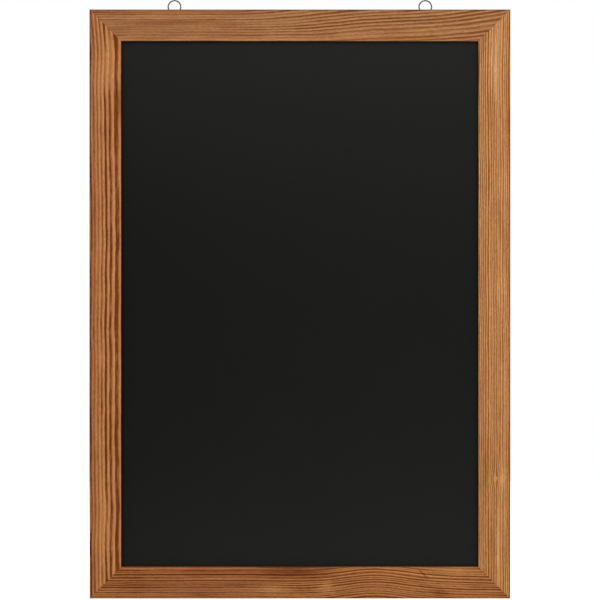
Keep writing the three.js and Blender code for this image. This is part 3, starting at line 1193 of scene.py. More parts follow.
class Workpiece:
    """A mesh on the bench, shaped in edit mode by Blender's own modelling operators."""

    def __init__(self, thing: bpy.types.Object, name: str) -> None:
        """Take up a mesh object.

        Args:
            thing: The object.
            name: The piece's name.
        """
        self.thing = thing
        thing.name = name
        thing.data.name = name

    @classmethod
    def started(cls, name: str, add: Callable[..., object], **settings: object) -> "Workpiece":
        """Start from one of Blender's primitives, and put its place in its mesh.

        Args:
            name: The piece's name.
            add: The operator that adds the primitive.
            settings: The operator's settings.

        Returns:
            The piece.
        """
        bpy.ops.object.select_all(action="DESELECT")
        add(**settings)
        piece = cls(bpy.context.object, name)
        alone(piece.thing)
        bpy.ops.object.transform_apply(location=True, rotation=True, scale=True)
        return piece

    @classmethod
    def block(cls, name: str, low: Vector, high: Vector) -> "Workpiece":
        """Start from a cube that fills the space between two corners.

        Args:
            name: The piece's name.
            low: The lowest corner.
            high: The highest corner.

        Returns:
            The piece.
        """
        cube = bpy.ops.mesh.primitive_cube_add
        return cls.started(name, cube, size=1, location=(low + high) / 2, scale=high - low)

    @classmethod
    def disc(cls, name: str, centre: Vector, axis: Vector, radius: float, sides: int) -> "Workpiece":
        """Start from a filled circle.

        Args:
            name: The piece's name.
            centre: Its centre.
            axis: The direction that it faces.
            radius: Its radius.
            sides: How many sides its outline has.

        Returns:
            The piece.
        """
        return cls.started(
            name,
            bpy.ops.mesh.primitive_circle_add,
            vertices=sides,
            radius=radius,
            fill_type="NGON",
            location=centre,
            rotation=facing(axis),
        )

    @classmethod
    def rod(cls, name: str, low: Vector, high: Vector, radius: float, sides: int) -> "Workpiece":
        """Start from a cylinder between two points.

        Args:
            name: The piece's name.
            low: The middle of one end.
            high: The middle of the other.
            radius: Its radius.
            sides: How many sides it has.

        Returns:
            The piece.
        """
        return cls.started(
            name,
            bpy.ops.mesh.primitive_cylinder_add,
            vertices=sides,
            radius=radius,
            depth=(high - low).length,
            location=(low + high) / 2,
            rotation=facing(high - low),
        )

    @classmethod
    def cast(cls, name: str, node: str) -> "Workpiece":
        """Start from a merged copy of a part of the fixed frame.

        Args:
            name: The piece's name.
            node: The part's name.

        Returns:
            The piece.
        """
        copy = frame["nodes"][node].copy()
        copy.data = copy.data.copy()
        copy.parent = None
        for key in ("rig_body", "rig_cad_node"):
            del copy[key]
        bpy.context.scene.collection.objects.link(copy)
        piece = cls(copy, name)
        piece.shaped(lambda: bpy.ops.mesh.remove_doubles(threshold=MERGED))
        return piece

    @classmethod
    def ball(cls, name: str, centre: Vector, radius: float, flatness: float, sides: int) -> "Workpiece":
        """Start from a sphere flattened along Y.

        Args:
            name: The piece's name.
            centre: Its centre.
            radius: Its radius across Y.
            flatness: How far it reaches along Y, as a share of the radius.
            sides: How many sides it has.

        Returns:
            The piece.
        """
        return cls.started(
            name,
            bpy.ops.mesh.primitive_uv_sphere_add,
            segments=sides,
            ring_count=sides // 2,
            radius=radius,
            location=centre,
            rotation=(math.pi / 2, 0, 0),
            scale=(1, 1, flatness),
        )

    @classmethod
    def cone(
        cls, name: str, low: Vector, high: Vector, radii: tuple[float, float], sides: int
    ) -> "Workpiece":
        """Start from a cut-off cone between two points.

        Args:
            name: The piece's name.
            low: The middle of one end.
            high: The middle of the other.
            radii: The radius at each end.
            sides: How many sides it has.

        Returns:
            The piece.
        """
        return cls.started(
            name,
            bpy.ops.mesh.primitive_cone_add,
            vertices=sides,
            radius1=radii[0],
            radius2=radii[1],
            depth=(high - low).length,
            location=(low + high) / 2,
            rotation=facing(high - low),
        )

    def shaped(self, *steps: Callable[[], object]) -> "Workpiece":
        """Select the whole mesh and run operators on it in edit mode.

        Args:
            steps: The operator calls, in order.

        Returns:
            The piece.
        """
        alone(self.thing)
        bpy.ops.object.mode_set(mode="EDIT")
        bpy.ops.mesh.select_all(action="SELECT")
        for step in steps:
            step()
        bpy.ops.object.mode_set(mode="OBJECT")
        return self

    def choose_faces(self, wanted: Callable[[Vector, Vector], bool]) -> None:
        """In edit mode, select faces by their middle and normal."""
        self._choose("FACE", lambda mesh: mesh.faces, lambda f: wanted(f.calc_center_median(), f.normal))

    def choose_edges(self, wanted: Callable[[Vector, Vector], bool]) -> None:
        """In edit mode, select edges by their two ends."""
        self._choose("EDGE", lambda mesh: mesh.edges, lambda e: wanted(e.verts[0].co, e.verts[1].co))

    def choose_points(self, wanted: Callable[[Vector], bool]) -> None:
        """In edit mode, select vertices by their place."""
        self._choose("VERT", lambda mesh: mesh.verts, lambda v: wanted(v.co))

    def _choose(self, mode: str, of_mesh: Callable, wanted: Callable) -> None:
        """Select elements of one kind.

        Args:
            mode: The kind.
            of_mesh: What gives the elements.
            wanted: The test that a chosen element meets.
        """
        bpy.ops.mesh.select_mode(type=mode)
        bpy.ops.mesh.select_all(action="DESELECT")
        mesh = bmesh.from_edit_mesh(self.thing.data)
        for element in of_mesh(mesh):
            element.select = bool(wanted(element))
        mesh.select_flush_mode()
        bmesh.update_edit_mesh(self.thing.data)

    def sliced(self, point: Vector, normal: Vector, keep_below: bool = False) -> "Workpiece":
        """Cut the mesh by a plane.

        Args:
            point: A point of the plane.
            normal: The plane's normal.
            keep_below: Whether what lies on the normal's side is removed and the cut closed.

        Returns:
            The piece.
        """
        return self.shaped(
            lambda: bpy.ops.mesh.bisect(
                plane_co=point,
                plane_no=normal,
                clear_outer=keep_below,
                use_fill=keep_below,
                threshold=CUT_SNAP,
            )
        )

    def rounded(self, wanted: Callable[[Vector, Vector], bool], radius: float, segments: int) -> "Workpiece":
        """Round chosen edges.

        Args:
            wanted: The test that an edge's two ends meet.
            radius: The radius.
            segments: How many facets the round has.

        Returns:
            The piece.
        """
        return self.shaped(
            lambda: self.choose_edges(wanted),
            lambda: bpy.ops.mesh.bevel(offset=radius, segments=segments, profile=0.5, affect="EDGES"),
        )

    def modified(self, kind: str, **settings: object) -> "Workpiece":
        """Add a modifier and apply it.

        Args:
            kind: The modifier's type.
            settings: Its properties.

        Returns:
            The piece.
        """
        modifier = self.thing.modifiers.new(kind.lower(), kind)
        for key, setting in settings.items():
            setattr(modifier, key, setting)
        alone(self.thing)
        bpy.ops.object.modifier_apply(modifier=modifier.name)
        return self

    def combined(self, tools: Iterable["Workpiece"], operation: str = "DIFFERENCE") -> "Workpiece":
        """Cut, join or intersect the mesh with others, which are used up.

        Args:
            tools: The other pieces.
            operation: The Boolean modifier's operation.

        Returns:
            The piece.
        """
        for tool in tools:
            self.modified("BOOLEAN", operation=operation, solver="EXACT", object=tool.thing)
            tool.put_away()
        return self

    @property
    def middle(self) -> Vector:
        """The middle of the box round the mesh.

        Returns:
            Its place.
        """
        places = [vertex.co for vertex in self.thing.data.vertices]
        low = Vector(min(place[i] for place in places) for i in range(3))
        high = Vector(max(place[i] for place in places) for i in range(3))
        return (low + high) / 2

    def moved(self, place: Matrix) -> "Workpiece":
        """Move and turn the mesh within its object."""
        self.thing.data.transform(place)
        return self

    def copied(self, name: str, place: Matrix) -> "Workpiece":
        """Make another piece of the same shape, with its own mesh.

        Args:
            name: The new piece's name.
            place: How it is moved and turned from this one.

        Returns:
            The new piece.
        """
        copy = self.thing.copy()
        copy.data = copy.data.copy()
        bpy.context.scene.collection.objects.link(copy)
        return Workpiece(copy, name).moved(place)

    def put_away(self) -> None:
        """Clear a pattern or a cutting shape off the bench."""
        bpy.data.objects.remove(self.thing)

    def closed(self) -> "Workpiece":
        """Merge doubled points and turn every face outwards.

        Returns:
            The piece.
        """
        return self.shaped(
            lambda: bpy.ops.mesh.remove_doubles(threshold=CUT_SNAP),
            lambda: bpy.ops.mesh.normals_make_consistent(inside=False),
        )

    def eased(self, width: float, segments: int = 2, sharper_than: float = 40.0) -> "Workpiece":
        """Take the sharpness off every edge.

        Args:
            width: How much is taken off.
            segments: How many facets each eased edge has.
            sharper_than: The least angle of an edge that is eased, in degrees.

        Returns:
            The piece.
        """
        least = math.radians(sharper_than)
        return self.modified(
            "BEVEL", width=width, segments=segments, limit_method="ANGLE", angle_limit=least
        )

    def smooth(self, angle: float = 32.0) -> "Workpiece":
        """Shade the piece as smooth, all but its sharp edges.

        Args:
            angle: The least angle of an edge that stays sharp, in degrees.

        Returns:
            The piece.
        """
        alone(self.thing)
        bpy.ops.object.shade_smooth_by_angle(angle=math.radians(angle))
        return self

    def fitted(self, body: str, slot: str, material: bpy.types.Material, *nodes: str) -> None:
        """Give the piece its finish and put it in the assembly.

        Args:
            body: The body that it moves with.
            slot: The material slot of the record that it stands for. Not used.
            material: Its finish.
            nodes: The parts of the fixed frame that it replaces.
        """
        self.thing.data.materials.clear()
        self.thing.data.materials.append(material)
        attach(self.thing, body)
        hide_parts(*nodes)
        faces = len(self.thing.data.polygons)
        log.info("%s: %d faces, rides on %s", self.thing.name, faces, body)


@dataclass
class MitredFrame:
    """The four lengths of moulding, mitred and nailed at the corners."""

    sizes: BoardSizes
    front_radius: float = 2.0 * MM
    front_steps: int = 8
    back_radius: float = 1.0 * MM
    back_steps: int = 5
    glue_line: float = 0.004 * MM
    slot_gap: float = 0.1 * MM
    pilot_radius: float = 1.65 * MM
    pilot_sides: int = 32

    def build(self) -> None:
        """Build and dress the four sides."""
        for timber in TIMBERS:
            piece = self.moulding(timber.side)
            piece.combined(self.cutters(timber.side)).smooth()
            piece.fitted("board", "frame_wood", timber.material(self.sizes), timber.side.node)

    def moulding(self, side: Side) -> Workpiece:
        """Shape one mitred length as if it were the top one, then turn it to its side.

        Args:
            side: Which side it is.

        Returns:
            The length of moulding, in place.
        """
        s = self.sizes
        half, outer, inner = s.half_length(side), s.half_span(side), s.inner_half_span(side)
        wall = inner + s.rebate_width
        piece = Workpiece.block(
            f"moulding_{side.name.lower()}", Vector((-half, s.front, wall)), Vector((half, s.back, outer))
        )
        piece.sliced(Vector((0, s.lip_back, 0)), Vector((0, 1, 0)))
        piece.shaped(
            lambda: piece.choose_faces(
                lambda middle, normal: normal.z < -SQUARE_ON and middle.y < s.lip_back
            ),
            lambda: drawn_out(0, 0, -s.rebate_width),
        )

        def lies_at(y: float, z: float) -> Callable[[Vector, Vector], bool]:
            """A test for the long edge at one corner of the section."""
            return lambda a, b: all(near(p.y, y) and near(p.z, z) for p in (a, b))

        piece.rounded(lies_at(s.front, outer), self.front_radius, self.front_steps)
        piece.rounded(lies_at(s.front, inner), self.front_radius, self.front_steps)
        piece.rounded(lies_at(s.back, outer), self.back_radius, self.back_steps)
        for end in (-1, 1):
            corner = Vector((end * (half - self.glue_line * math.sqrt(0.5)), 0, outer))
            piece.sliced(corner, Vector((end, 0, -1)).normalized(), keep_below=True)
        return piece.moved(s.from_top(side))

    def cutters(self, side: Side) -> list[Workpiece]:
        """The slots that the nails and points make in a side, and the screws' pilot holes.

        Args:
            side: Which side it is.

        Returns:
            The shapes to cut away.
        """
        slots = [self.slot(node, open_behind=True) for node in corner_nails(side)]
        slots += [self.slot(node, open_behind=False) for node in framers_points(side)]
        if side is Side.TOP:
            slots += [self.pilot_hole(node) for node in STRAP_SCREWS]
        return slots

    def slot(self, node: str, open_behind: bool) -> Workpiece:
        """The space that a pressed-in piece of steel takes in the wood.

        Args:
            node: The steel's part in the fixed frame.
            open_behind: Whether the slot reaches the back face.

        Returns:
            The shape of the space.
        """
        piece = Workpiece.cast("slot", node)
        piece.shaped(
            lambda: bpy.ops.mesh.normals_make_consistent(inside=False),
            lambda: bpy.ops.transform.shrink_fatten(value=self.slot_gap, use_even_offset=True),
        )
        if open_behind:
            low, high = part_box(node)
            reach = self.sizes.back + self.slot_gap - high.y
            piece.shaped(
                lambda: piece.choose_points(lambda place: place.y > (low.y + high.y) / 2),
                lambda: bpy.ops.transform.translate(value=(0, reach, 0)),
            )
        return piece

    def pilot_hole(self, node: str) -> Workpiece:
        """The hole that a screw makes in the rail.

        Args:
            node: The screw's part in the fixed frame.

        Returns:
            The shape to cut away.
        """
        low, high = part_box(node)
        middle = (low + high) / 2
        bottom = Vector((middle.x, low.y - self.slot_gap, middle.z))
        mouth = Vector((middle.x, self.sizes.back + self.slot_gap, middle.z))
        return Workpiece.rod("pilot_hole", bottom, mouth, self.pilot_radius, self.pilot_sides)


@dataclass
class WritingPanel:
    """The sheet of lacquered hardboard that is written on."""

    sizes: BoardSizes
    finish: ChalkSheet = field(default_factory=ChalkSheet)
    edge_radius: float = 0.3 * MM
    edge_steps: int = 3

    def build(self) -> None:
        """Build and dress the sheet."""
        low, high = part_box("chalk_panel")
        piece = Workpiece.block("writing_panel", low, high)
        piece.eased(self.edge_radius, self.edge_steps).smooth()
        piece.fitted("board", "chalk_surface", self.finish.material(self.sizes), "chalk_panel")


@dataclass
class CornerNails:
    """The folded steel nails, shaped like a V, that hold each mitre from behind."""

    sizes: BoardSizes
    leg: float = 4.4 * MM
    flare: float = 1.3 * MM
    flare_turn: float = math.radians(28)
    bend_radius: float = 1.0 * MM
    bend_steps: int = 5
    sheet: float = 0.6 * MM
    edge: float = 0.06 * MM

    def build(self) -> None:
        """Build one nail, and dress a copy of it for each place."""
        nodes = [node for side in Side for node in corner_nails(side)[:NAILS_PER_CORNER]]
        low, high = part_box(nodes[0])
        pattern = self.pattern(high.y - low.y)
        finish = PlatedSteel(Plating.BLUED).material()
        centre = self.sizes.centre
        for node in nodes:
            low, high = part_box(node)
            middle = (low + high) / 2
            to_right, upwards = middle.x > centre.x, middle.z > centre.z
            turn = math.atan2(1 if to_right else -1, 1 if upwards else -1)
            nail = pattern.copied(f"nail_{node}", Matrix.Rotation(turn, 4, "Y"))
            nail.moved(Matrix.Translation(middle - nail.middle))
            nail.smooth().fitted("board", "nail_steel", finish, node)
        pattern.put_away()

    def pattern(self, height: float) -> Workpiece:
        """Shape a nail with its fold along Y through the origin, pointing up.

        Args:
            height: How long the nail is along the fold.

        Returns:
            The nail.
        """
        half = self.sheet / 2
        before_bend = self.bend_radius * math.tan(self.flare_turn / 2)
        straight, tail = self.leg - before_bend, self.flare - before_bend
        nail = Workpiece.block("nail", Vector((-self.sheet, -height, -half)), Vector((straight, 0, half)))
        nail.shaped(
            lambda: nail.choose_faces(lambda middle, normal: normal.x > SQUARE_ON),
            lambda: bpy.ops.mesh.spin(
                steps=self.bend_steps,
                angle=self.flare_turn,
                center=(straight, 0, self.bend_radius),
                axis=(0, 1, 0),
            ),
            lambda: drawn_out(tail * math.cos(self.flare_turn), 0, tail * math.sin(self.flare_turn)),
        )
        nail.moved(Matrix.Rotation(math.pi / 4, 4, "Y"))
        nail.sliced(Vector(), Vector((-1, 0, 0)), keep_below=True)
        nail.shaped(
            lambda: nail.choose_faces(lambda middle, normal: normal.x < -SQUARE_ON and near(middle.x, 0)),
            lambda: bpy.ops.mesh.delete(type="ONLY_FACE"),
        )
        return nail.modified("MIRROR", merge_threshold=CUT_SNAP).closed().eased(self.edge)


@dataclass
class FramersPoints:
    """The pointed steel blades, driven into the rebate wall, that hold the panel from behind."""

    sizes: BoardSizes
    width: float = 9 * MM
    sheet: float = 0.4 * MM
    bite: float = 6 * MM
    taper: float = 4 * MM
    tip_share: float = 0.03
    curl_turn: float = math.radians(24)
    curl_radius: float = 1.5 * MM
    curl_steps: int = 6
    curl_from_end: float = 3.0 * MM
    corner_radius: float = 2 * MM
    corner_steps: int = 8
    edge: float = 0.07 * MM

    def build(self) -> None:
        """Build one point, and dress a copy of it for each place."""
        low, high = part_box(framers_points(Side.TOP)[0])
        wall = self.sizes.top - self.sizes.moulding_width + self.sizes.rebate_width
        pattern = self.pattern(wall - low.z)
        finish = PlatedSteel(Plating.ZINC).material()
        blade_y = low.y + self.sheet / 2
        for side in Side:
            wall_from_centre = self.sizes.inner_half_span(side) + self.sizes.rebate_width
            opening = 2 * (self.sizes.half_length(side) - self.sizes.moulding_width)
            nodes = framers_points(side)
            for index, node in enumerate(nodes):
                along = ((index + 0.5) / len(nodes) - 0.5) * opening
                place = self.sizes.from_top(side) @ Matrix.Translation((along, blade_y, wall_from_centre))
                point = pattern.copied(f"point_{node}", place)
                point.smooth().fitted("board", "zinc_sheet", finish, node)
        pattern.put_away()

    def pattern(self, reach: float) -> Workpiece:
        """Shape a point that enters the wood at the origin and points up.

        Args:
            reach: How far the point comes out over the panel.

        Returns:
            The point.
        """
        half_width, half = self.width / 2, self.sheet / 2
        bend_drop = self.curl_radius * math.sin(self.curl_turn)
        flat_end = -(reach - self.curl_from_end)
        shoulder = self.bite - self.taper
        tail = (reach + flat_end - bend_drop) / math.cos(self.curl_turn)
        point = Workpiece.block(
            "point", Vector((-half_width, -half, flat_end)), Vector((half_width, half, shoulder))
        )
        point.shaped(
            lambda: point.choose_faces(lambda middle, normal: normal.z > SQUARE_ON),
            lambda: drawn_out(0, 0, self.taper),
            lambda: bpy.ops.transform.resize(
                value=(self.tip_share, 1, 1), center_override=(0, 0, self.bite)
            ),
            lambda: point.choose_faces(lambda middle, normal: normal.z < -SQUARE_ON),
            lambda: bpy.ops.mesh.spin(
                steps=self.curl_steps,
                angle=self.curl_turn,
                center=(0, self.curl_radius, flat_end),
                axis=(-1, 0, 0),
            ),
            lambda: drawn_out(0, tail * math.sin(self.curl_turn), -tail * math.cos(self.curl_turn)),
        )
        low_end = min(vertex.co.z for vertex in point.thing.data.vertices)

        def at_corner(a: Vector, b: Vector) -> bool:
            """Whether an edge is one of the two through the sheet at the end over the panel."""
            at_side = near(abs(a.x), half_width) and near(a.x, b.x)
            return at_side and max(a.z, b.z) < low_end + self.sheet

        point.rounded(at_corner, self.corner_radius, self.corner_steps)
        return point.closed().eased(self.edge)


@dataclass
class Hanger:
    """A wire ring in a folded steel strap, which two screws hold to the back of the top rail."""

    hand: Hand
    ring_radius: float = 7.5 * MM
    wire_radius: float = 0.8 * MM
    ring_split: float = 0.3 * MM
    sheet: float = 0.8 * MM
    strap_width: float = 10 * MM
    knuckle_width: float = 4.8 * MM
    shoulder_length: float = 3.4 * MM
    foot_share: float = 0.999
    fold_gap: float = 0.15 * MM
    neck_radius: float = 1.2 * MM
    hole_radius: float = 1.75 * MM
    edge: float = 0.12 * MM
    ring_steps: int = 96
    ring_edge_steps: int = 3
    wire_sides: int = 24
    fold_steps: int = 48
    neck_steps: int = 16
    foot_steps: int = 20
    shoulder_steps: int = 10
    hole_sides: int = 48

    @property
    def body(self) -> str:
        """The moving body that the ring belongs to."""
        return f"ring_{self.hand.value}"

    @property
    def hinge(self) -> Vector:
        """Where the ring turns, from its part in the fixed frame."""
        low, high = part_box(f"hanging_ring_{self.hand.value}")
        return Vector(((low.x + high.x) / 2, 0, high.z - self.wire_radius - 2 * self.ring_radius))

    @property
    def drops(self) -> list[float]:
        """How far below the hinge the two screws are."""
        boxes = [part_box(node) for node in self.screw_nodes]
        return [self.hinge.z - (low.z + high.z) / 2 for low, high in boxes]

    @property
    def cutter_reach(self) -> float:
        """How far a cutting shape reaches before and behind the hinge, past both leaves."""
        return 4 * self.neck_radius

    @property
    def screw_nodes(self) -> list[str]:
        """The names of its screws' parts in the fixed frame."""
        return [f"strap_screw_{self.hand.value}_{place}" for place in ("upper", "lower")]

    def build(
        self, screw: Workpiece, strap_finish: bpy.types.Material, ring_finish: bpy.types.Material
    ) -> None:
        """Build and dress the ring, the strap and the screws.

        Args:
            screw: The pattern that the screws are copied from.
            strap_finish: The finish of the strap and the screws.
            ring_finish: The finish of the ring.
        """
        name = self.hand.value
        ring = self.ring().smooth()
        ring.fitted(self.body, "ring_wire", ring_finish, f"hanging_ring_{name}")
        strap = self.strap().smooth()
        strap.fitted("board", "zinc_sheet", strap_finish, f"ring_strap_{name}")
        for node in self.screw_nodes:
            low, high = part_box(node)
            middle = (low + high) / 2
            place = Vector((middle.x, low.y + Screw.length, middle.z))
            turn = Matrix.Rotation(math.radians(SCREW_TURNS[node]), 4, "Y")
            copy = screw.copied(f"screw_{node}", Matrix.Translation(place) @ turn)
            copy.fitted("board", "screw_steel", strap_finish, node)

    def ring(self) -> Workpiece:
        """Bend the ring from a disc of wire, spun round from one end to the other.

        Returns:
            The ring, standing up.
        """
        centre = self.hinge + Vector((0, 0, self.ring_radius))
        half_split = math.asin(self.ring_split / 2 / self.ring_radius)
        start = -math.pi / 2 + half_split
        place = centre + self.ring_radius * Vector((math.cos(start), 0, math.sin(start)))
        tangent = Vector((-math.sin(start), 0, math.cos(start)))
        name = f"ring_{self.hand.value}"
        ring = Workpiece.disc(name, place, tangent, self.wire_radius, self.wire_sides)
        turn = 2 * (math.pi - half_split)
        ring.shaped(
            lambda: bpy.ops.mesh.spin(
                steps=self.ring_steps, angle=turn, center=centre, axis=(0, 1, 0)
            )
        )
        return ring.closed().eased(self.edge, self.ring_edge_steps)

    def strap(self) -> Workpiece:
        """Fold the strap, cut its outline and its holes, and ease its edges.

        Returns:
            The strap, in place.
        """
        strap = self.folded().combined([self.outline()], "INTERSECT")
        reach = Vector((0, self.cutter_reach, 0))
        middles = [self.hinge + Vector((0, 0, -drop)) for drop in self.drops]
        holes = [
            Workpiece.rod("hole", middle - reach, middle + reach, self.hole_radius, self.hole_sides)
            for middle in middles
        ]
        return strap.combined(holes).closed().eased(self.edge)

    def folded(self) -> Workpiece:
        """Fold a strip wider than the strap round the hinge, from the leaf on the rail to the rear one.

        Returns:
            The strip.
        """
        hinge = self.hinge
        low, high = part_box(f"ring_strap_{self.hand.value}")
        mid = -low.y - self.sheet / 2
        rear = -mid + self.sheet + self.fold_gap
        reach = mid + self.neck_radius
        neck = math.acos((self.neck_radius + rear) / reach)
        neck_centre = hinge + Vector((0, reach * math.cos(neck), -reach * math.sin(neck)))
        strip = Workpiece.block(
            f"strap_{self.hand.value}",
            Vector((hinge.x - self.strap_width, low.y, low.z)),
            Vector((hinge.x + self.strap_width, low.y + self.sheet, hinge.z)),
        )
        return strip.shaped(
            lambda: strip.choose_faces(lambda middle, normal: normal.z > SQUARE_ON),
            lambda: bpy.ops.mesh.spin(
                steps=self.fold_steps, angle=math.pi + neck, center=hinge, axis=(1, 0, 0)
            ),
            lambda: bpy.ops.mesh.spin(
                steps=self.neck_steps, angle=neck, center=neck_centre, axis=(-1, 0, 0)
            ),
            lambda: drawn_out(0, 0, low.z - neck_centre.z),
        ).closed()

    def outline(self) -> Workpiece:
        """A plate with the strap's outline: a round foot, and shoulders drawn in to the knuckle.

        Returns:
            The plate, thick enough to reach through both leaves.
        """
        hinge = self.hinge
        low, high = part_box(f"ring_strap_{self.hand.value}")
        wide, narrow = self.strap_width / 2, self.knuckle_width / 2
        shoulder, top = hinge.z + low.y, high.z + self.sheet
        plate = Workpiece.block(
            "strap_outline",
            Vector((hinge.x - wide, -self.cutter_reach, low.z)),
            Vector((hinge.x + wide, self.cutter_reach, top)),
        )
        plate.rounded(
            lambda a, b: near(a.z, low.z) and near(b.z, low.z) and near(a.x, b.x),
            wide * self.foot_share,
            self.foot_steps,
        )
        # the shoulder is an S-shaped curve through these levels, closest together at its middle
        levels = {}
        for step in range(self.shoulder_steps + 1):
            share = step / self.shoulder_steps
            fall = share * (1.5 - 1.5 * share + share * share)
            drawn = (wide - narrow) * (1 - share * share * (3 - 2 * share))
            levels[shoulder - self.shoulder_length * fall] = drawn
        for level in levels:
            plate.sliced(Vector((0, 0, level)), Vector((0, 0, 1)))
        levels[top] = wide - narrow
        for level, drawn in levels.items():
            for way in (-1, 1):
                plate.shaped(
                    lambda: plate.choose_points(
                        lambda place: near(place.z, level) and (place.x - hinge.x) * way > 0
                    ),
                    lambda: bpy.ops.transform.translate(value=(-way * drawn, 0, 0)),
                )
        return plate


@dataclass
class Screw:
    """A pan-head screw with a cross recess, its tip towards the board's front."""

    head_radius: float = 2.8 * MM
    head_height: float = 1.9 * MM
    rim_height: float = 0.5 * MM
    shank_radius: float = 1.5 * MM
    length: float = 12 * MM
    tip_length: float = 3 * MM
    recess_width: float = 3.2 * MM
    recess_depth: float = 1.4 * MM
    blade: float = 0.7 * MM
    edge: float = 0.06 * MM
    tip_share: float = 0.03
    sides: int = 48
    eased_past: float = 50.0
    smooth_below: float = 40.0

    def pattern(self) -> Workpiece:
        """Shape a screw with the underside of its head at the origin.

        Returns:
            The screw.
        """
        rim, dome = Vector((0, self.rim_height, 0)), self.head_height - self.rim_height
        screw = Workpiece.ball("screw", rim, self.head_radius, dome / self.head_radius, self.sides)
        screw.sliced(rim, Vector((0, -1, 0)), keep_below=True)
        straight = self.length - self.tip_length
        screw.shaped(
            lambda: screw.choose_faces(lambda middle, normal: normal.y < -SQUARE_ON),
            lambda: drawn_out(0, -self.rim_height, 0),
            lambda: bpy.ops.mesh.inset(thickness=self.head_radius - self.shank_radius, depth=0),
            lambda: drawn_out(0, -straight, 0),
            lambda: drawn_out(0, -self.tip_length, 0),
            lambda: bpy.ops.transform.resize(
                value=(self.tip_share, 1, self.tip_share), center_override=(0, -self.length, 0)
            ),
        )
        screw.combined([self.recess()]).closed()
        return screw.eased(self.edge, sharper_than=self.eased_past).smooth(self.smooth_below)

    def recess(self) -> Workpiece:
        """The cross that the driver fits, narrowing towards its bottom.

        Returns:
            The shape to cut away.
        """
        top, bottom = self.head_height, self.head_height - self.recess_depth
        half, thin = self.recess_width / 2, self.blade / 2
        above = self.recess_depth
        low, high = Vector((-half, bottom - above, -thin)), Vector((half, top + above, thin))
        cross = Workpiece.block("cross", low, high)
        other = cross.copied("cross_arm", Matrix.Rotation(math.pi / 2, 4, "Y"))
        ends = Vector((0, bottom, 0)), Vector((0, top, 0))
        funnel = Workpiece.cone("funnel", *ends, (thin, half), self.sides)
        return cross.combined([other], "UNION").combined([funnel], "INTERSECT")


@dataclass(frozen=True)
class Lamp:
    """A square lamp aimed at the board's middle, and its place from there."""

    name: str
    place: Vector
    power: float
    size: float = 1.6


LAMPS = (
    Lamp("key", Vector((-0.7, -2.4, 1.1)), 29.0),
    Lamp("fill", Vector((0.9, -2.4, 0.3)), 20.0),
    Lamp("behind", Vector((0.6, 2.4, 1.2)), 40.0),
)


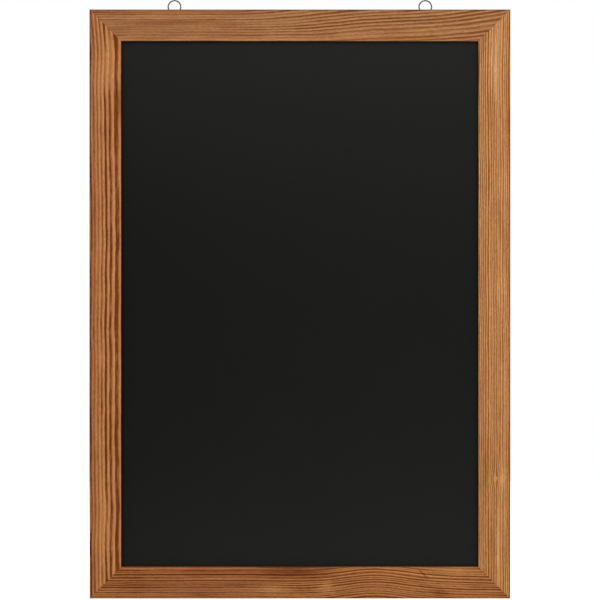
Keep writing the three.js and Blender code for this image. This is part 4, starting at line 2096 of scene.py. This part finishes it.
@dataclass
class Studio:
    """The camera at the photograph's angle, soft lamps, and a pale floor under the hung board."""

    sizes: BoardSizes
    image_width_px: float = 600.0
    board_centre_px: tuple[float, float] = (299.9, 304.1)
    metres_per_px: float = 1.1873 * MM
    distance: float = 3.0
    sensor_width: float = 36.0
    room_light: float = 0.3
    white: float = 1.0
    floor_drop: float = 0.15
    floor_size: float = 8.0
    floor_thickness: float = 0.02
    floor_colour: Colour = linear(232, 232, 230)
    floor_roughness: float = 0.9
    speckle: float = 0.02
    speckle_shade: float = 0.01
    near_glow: float = 0.35
    far_rise: tuple[float, float] = (0.5, 1.1)

    def build(self) -> None:
        """Set up everything that isn't the board."""
        self.camera()
        self.world()
        for lamp in LAMPS:
            self.hang(lamp)
        self.floor()

    def camera(self) -> None:
        """Stand the camera square on to the board's front."""
        data = bpy.data.cameras.new("camera")
        data.sensor_width = self.sensor_width
        data.lens = self.sensor_width * self.distance / (self.image_width_px * self.metres_per_px)
        camera = bpy.data.objects.new("camera", data)
        bpy.context.scene.collection.objects.link(camera)
        middle = self.image_width_px / 2
        right = (middle - self.board_centre_px[0]) * self.metres_per_px
        up = (self.board_centre_px[1] - middle) * self.metres_per_px
        centre = self.sizes.centre
        camera.location = (centre.x + right, self.sizes.front - self.distance, centre.z + up)
        camera.rotation_euler = (math.pi / 2, 0, 0)
        bpy.context.scene.camera = camera

    def world(self) -> None:
        """Fill the room with an even light, white where it is seen or mirrored."""
        world = bpy.data.worlds.new("studio")
        bpy.context.scene.world = world
        world.use_nodes = True
        graph = Graph(world.node_tree)
        mirrored = graph.maths("MAXIMUM", graph.ray("Glossy"), graph.ray("Transmission"))
        seen = graph.maths("MAXIMUM", graph.ray("Camera"), mirrored)
        sockets = {"Value": seen, "To Min": self.room_light, "To Max": self.white}
        strength = graph.node("ShaderNodeMapRange", sockets=sockets).outputs[0]
        background = world.node_tree.nodes["Background"]
        graph.feed(background.inputs["Color"], (1, 1, 1, 1))
        graph.feed(background.inputs["Strength"], strength)

    def hang(self, lamp: Lamp) -> None:
        """Hang a soft lamp.

        Args:
            lamp: The lamp.
        """
        data = bpy.data.lights.new(lamp.name, "AREA")
        data.size = lamp.size
        data.energy = lamp.power
        light = bpy.data.objects.new(lamp.name, data)
        light.location = self.sizes.centre + lamp.place
        light.rotation_euler = (-lamp.place).to_track_quat("-Z", "Y").to_euler()
        bpy.context.scene.collection.objects.link(light)

    def floor(self) -> None:
        """Lay a pale floor a little below the board, lost in white further away."""
        top = self.sizes.bottom - self.floor_drop
        half = self.floor_size / 2
        low = Vector((-half, -half, top - self.floor_thickness))
        slab = Workpiece.block("floor", low, Vector((half, half, top)))
        graph = Surface("pale_floor")
        x, y, _ = graph.places()
        speckle = graph.noise((x, y, 0.0), self.speckle)
        far = (x * x + y * y).root().rise(*self.far_rise)
        glow = (far * (1 - self.near_glow) + self.near_glow) * graph.ray("Camera")
        material = graph.finish(
            Base_Color=graph.shade(self.floor_colour, 1 + speckle * self.speckle_shade),
            Roughness=self.floor_roughness,
            Emission_Color=graph.shade((1.0, 1.0, 1.0), glow),
            Emission_Strength=1.0,
        )
        slab.thing.data.materials.append(material)


def main() -> None:
    """Build the board round its fixed frame, and the studio round the board."""
    logging.basicConfig(level=logging.INFO, format="%(message)s")
    bpy.context.scene.view_settings.view_transform = "Standard"
    sizes = BoardSizes.read()
    MitredFrame(sizes).build()
    WritingPanel(sizes).build()
    CornerNails(sizes).build()
    FramersPoints(sizes).build()
    screw = Screw().pattern()
    strap_finish = PlatedSteel(Plating.ZINC).material()
    ring_finish = PlatedSteel(Plating.BRONZED).material()
    for hand in Hand:
        Hanger(hand).build(screw, strap_finish, ring_finish)
    screw.put_away()
    Studio(sizes).build()


if __name__ == "__main__":
    main()
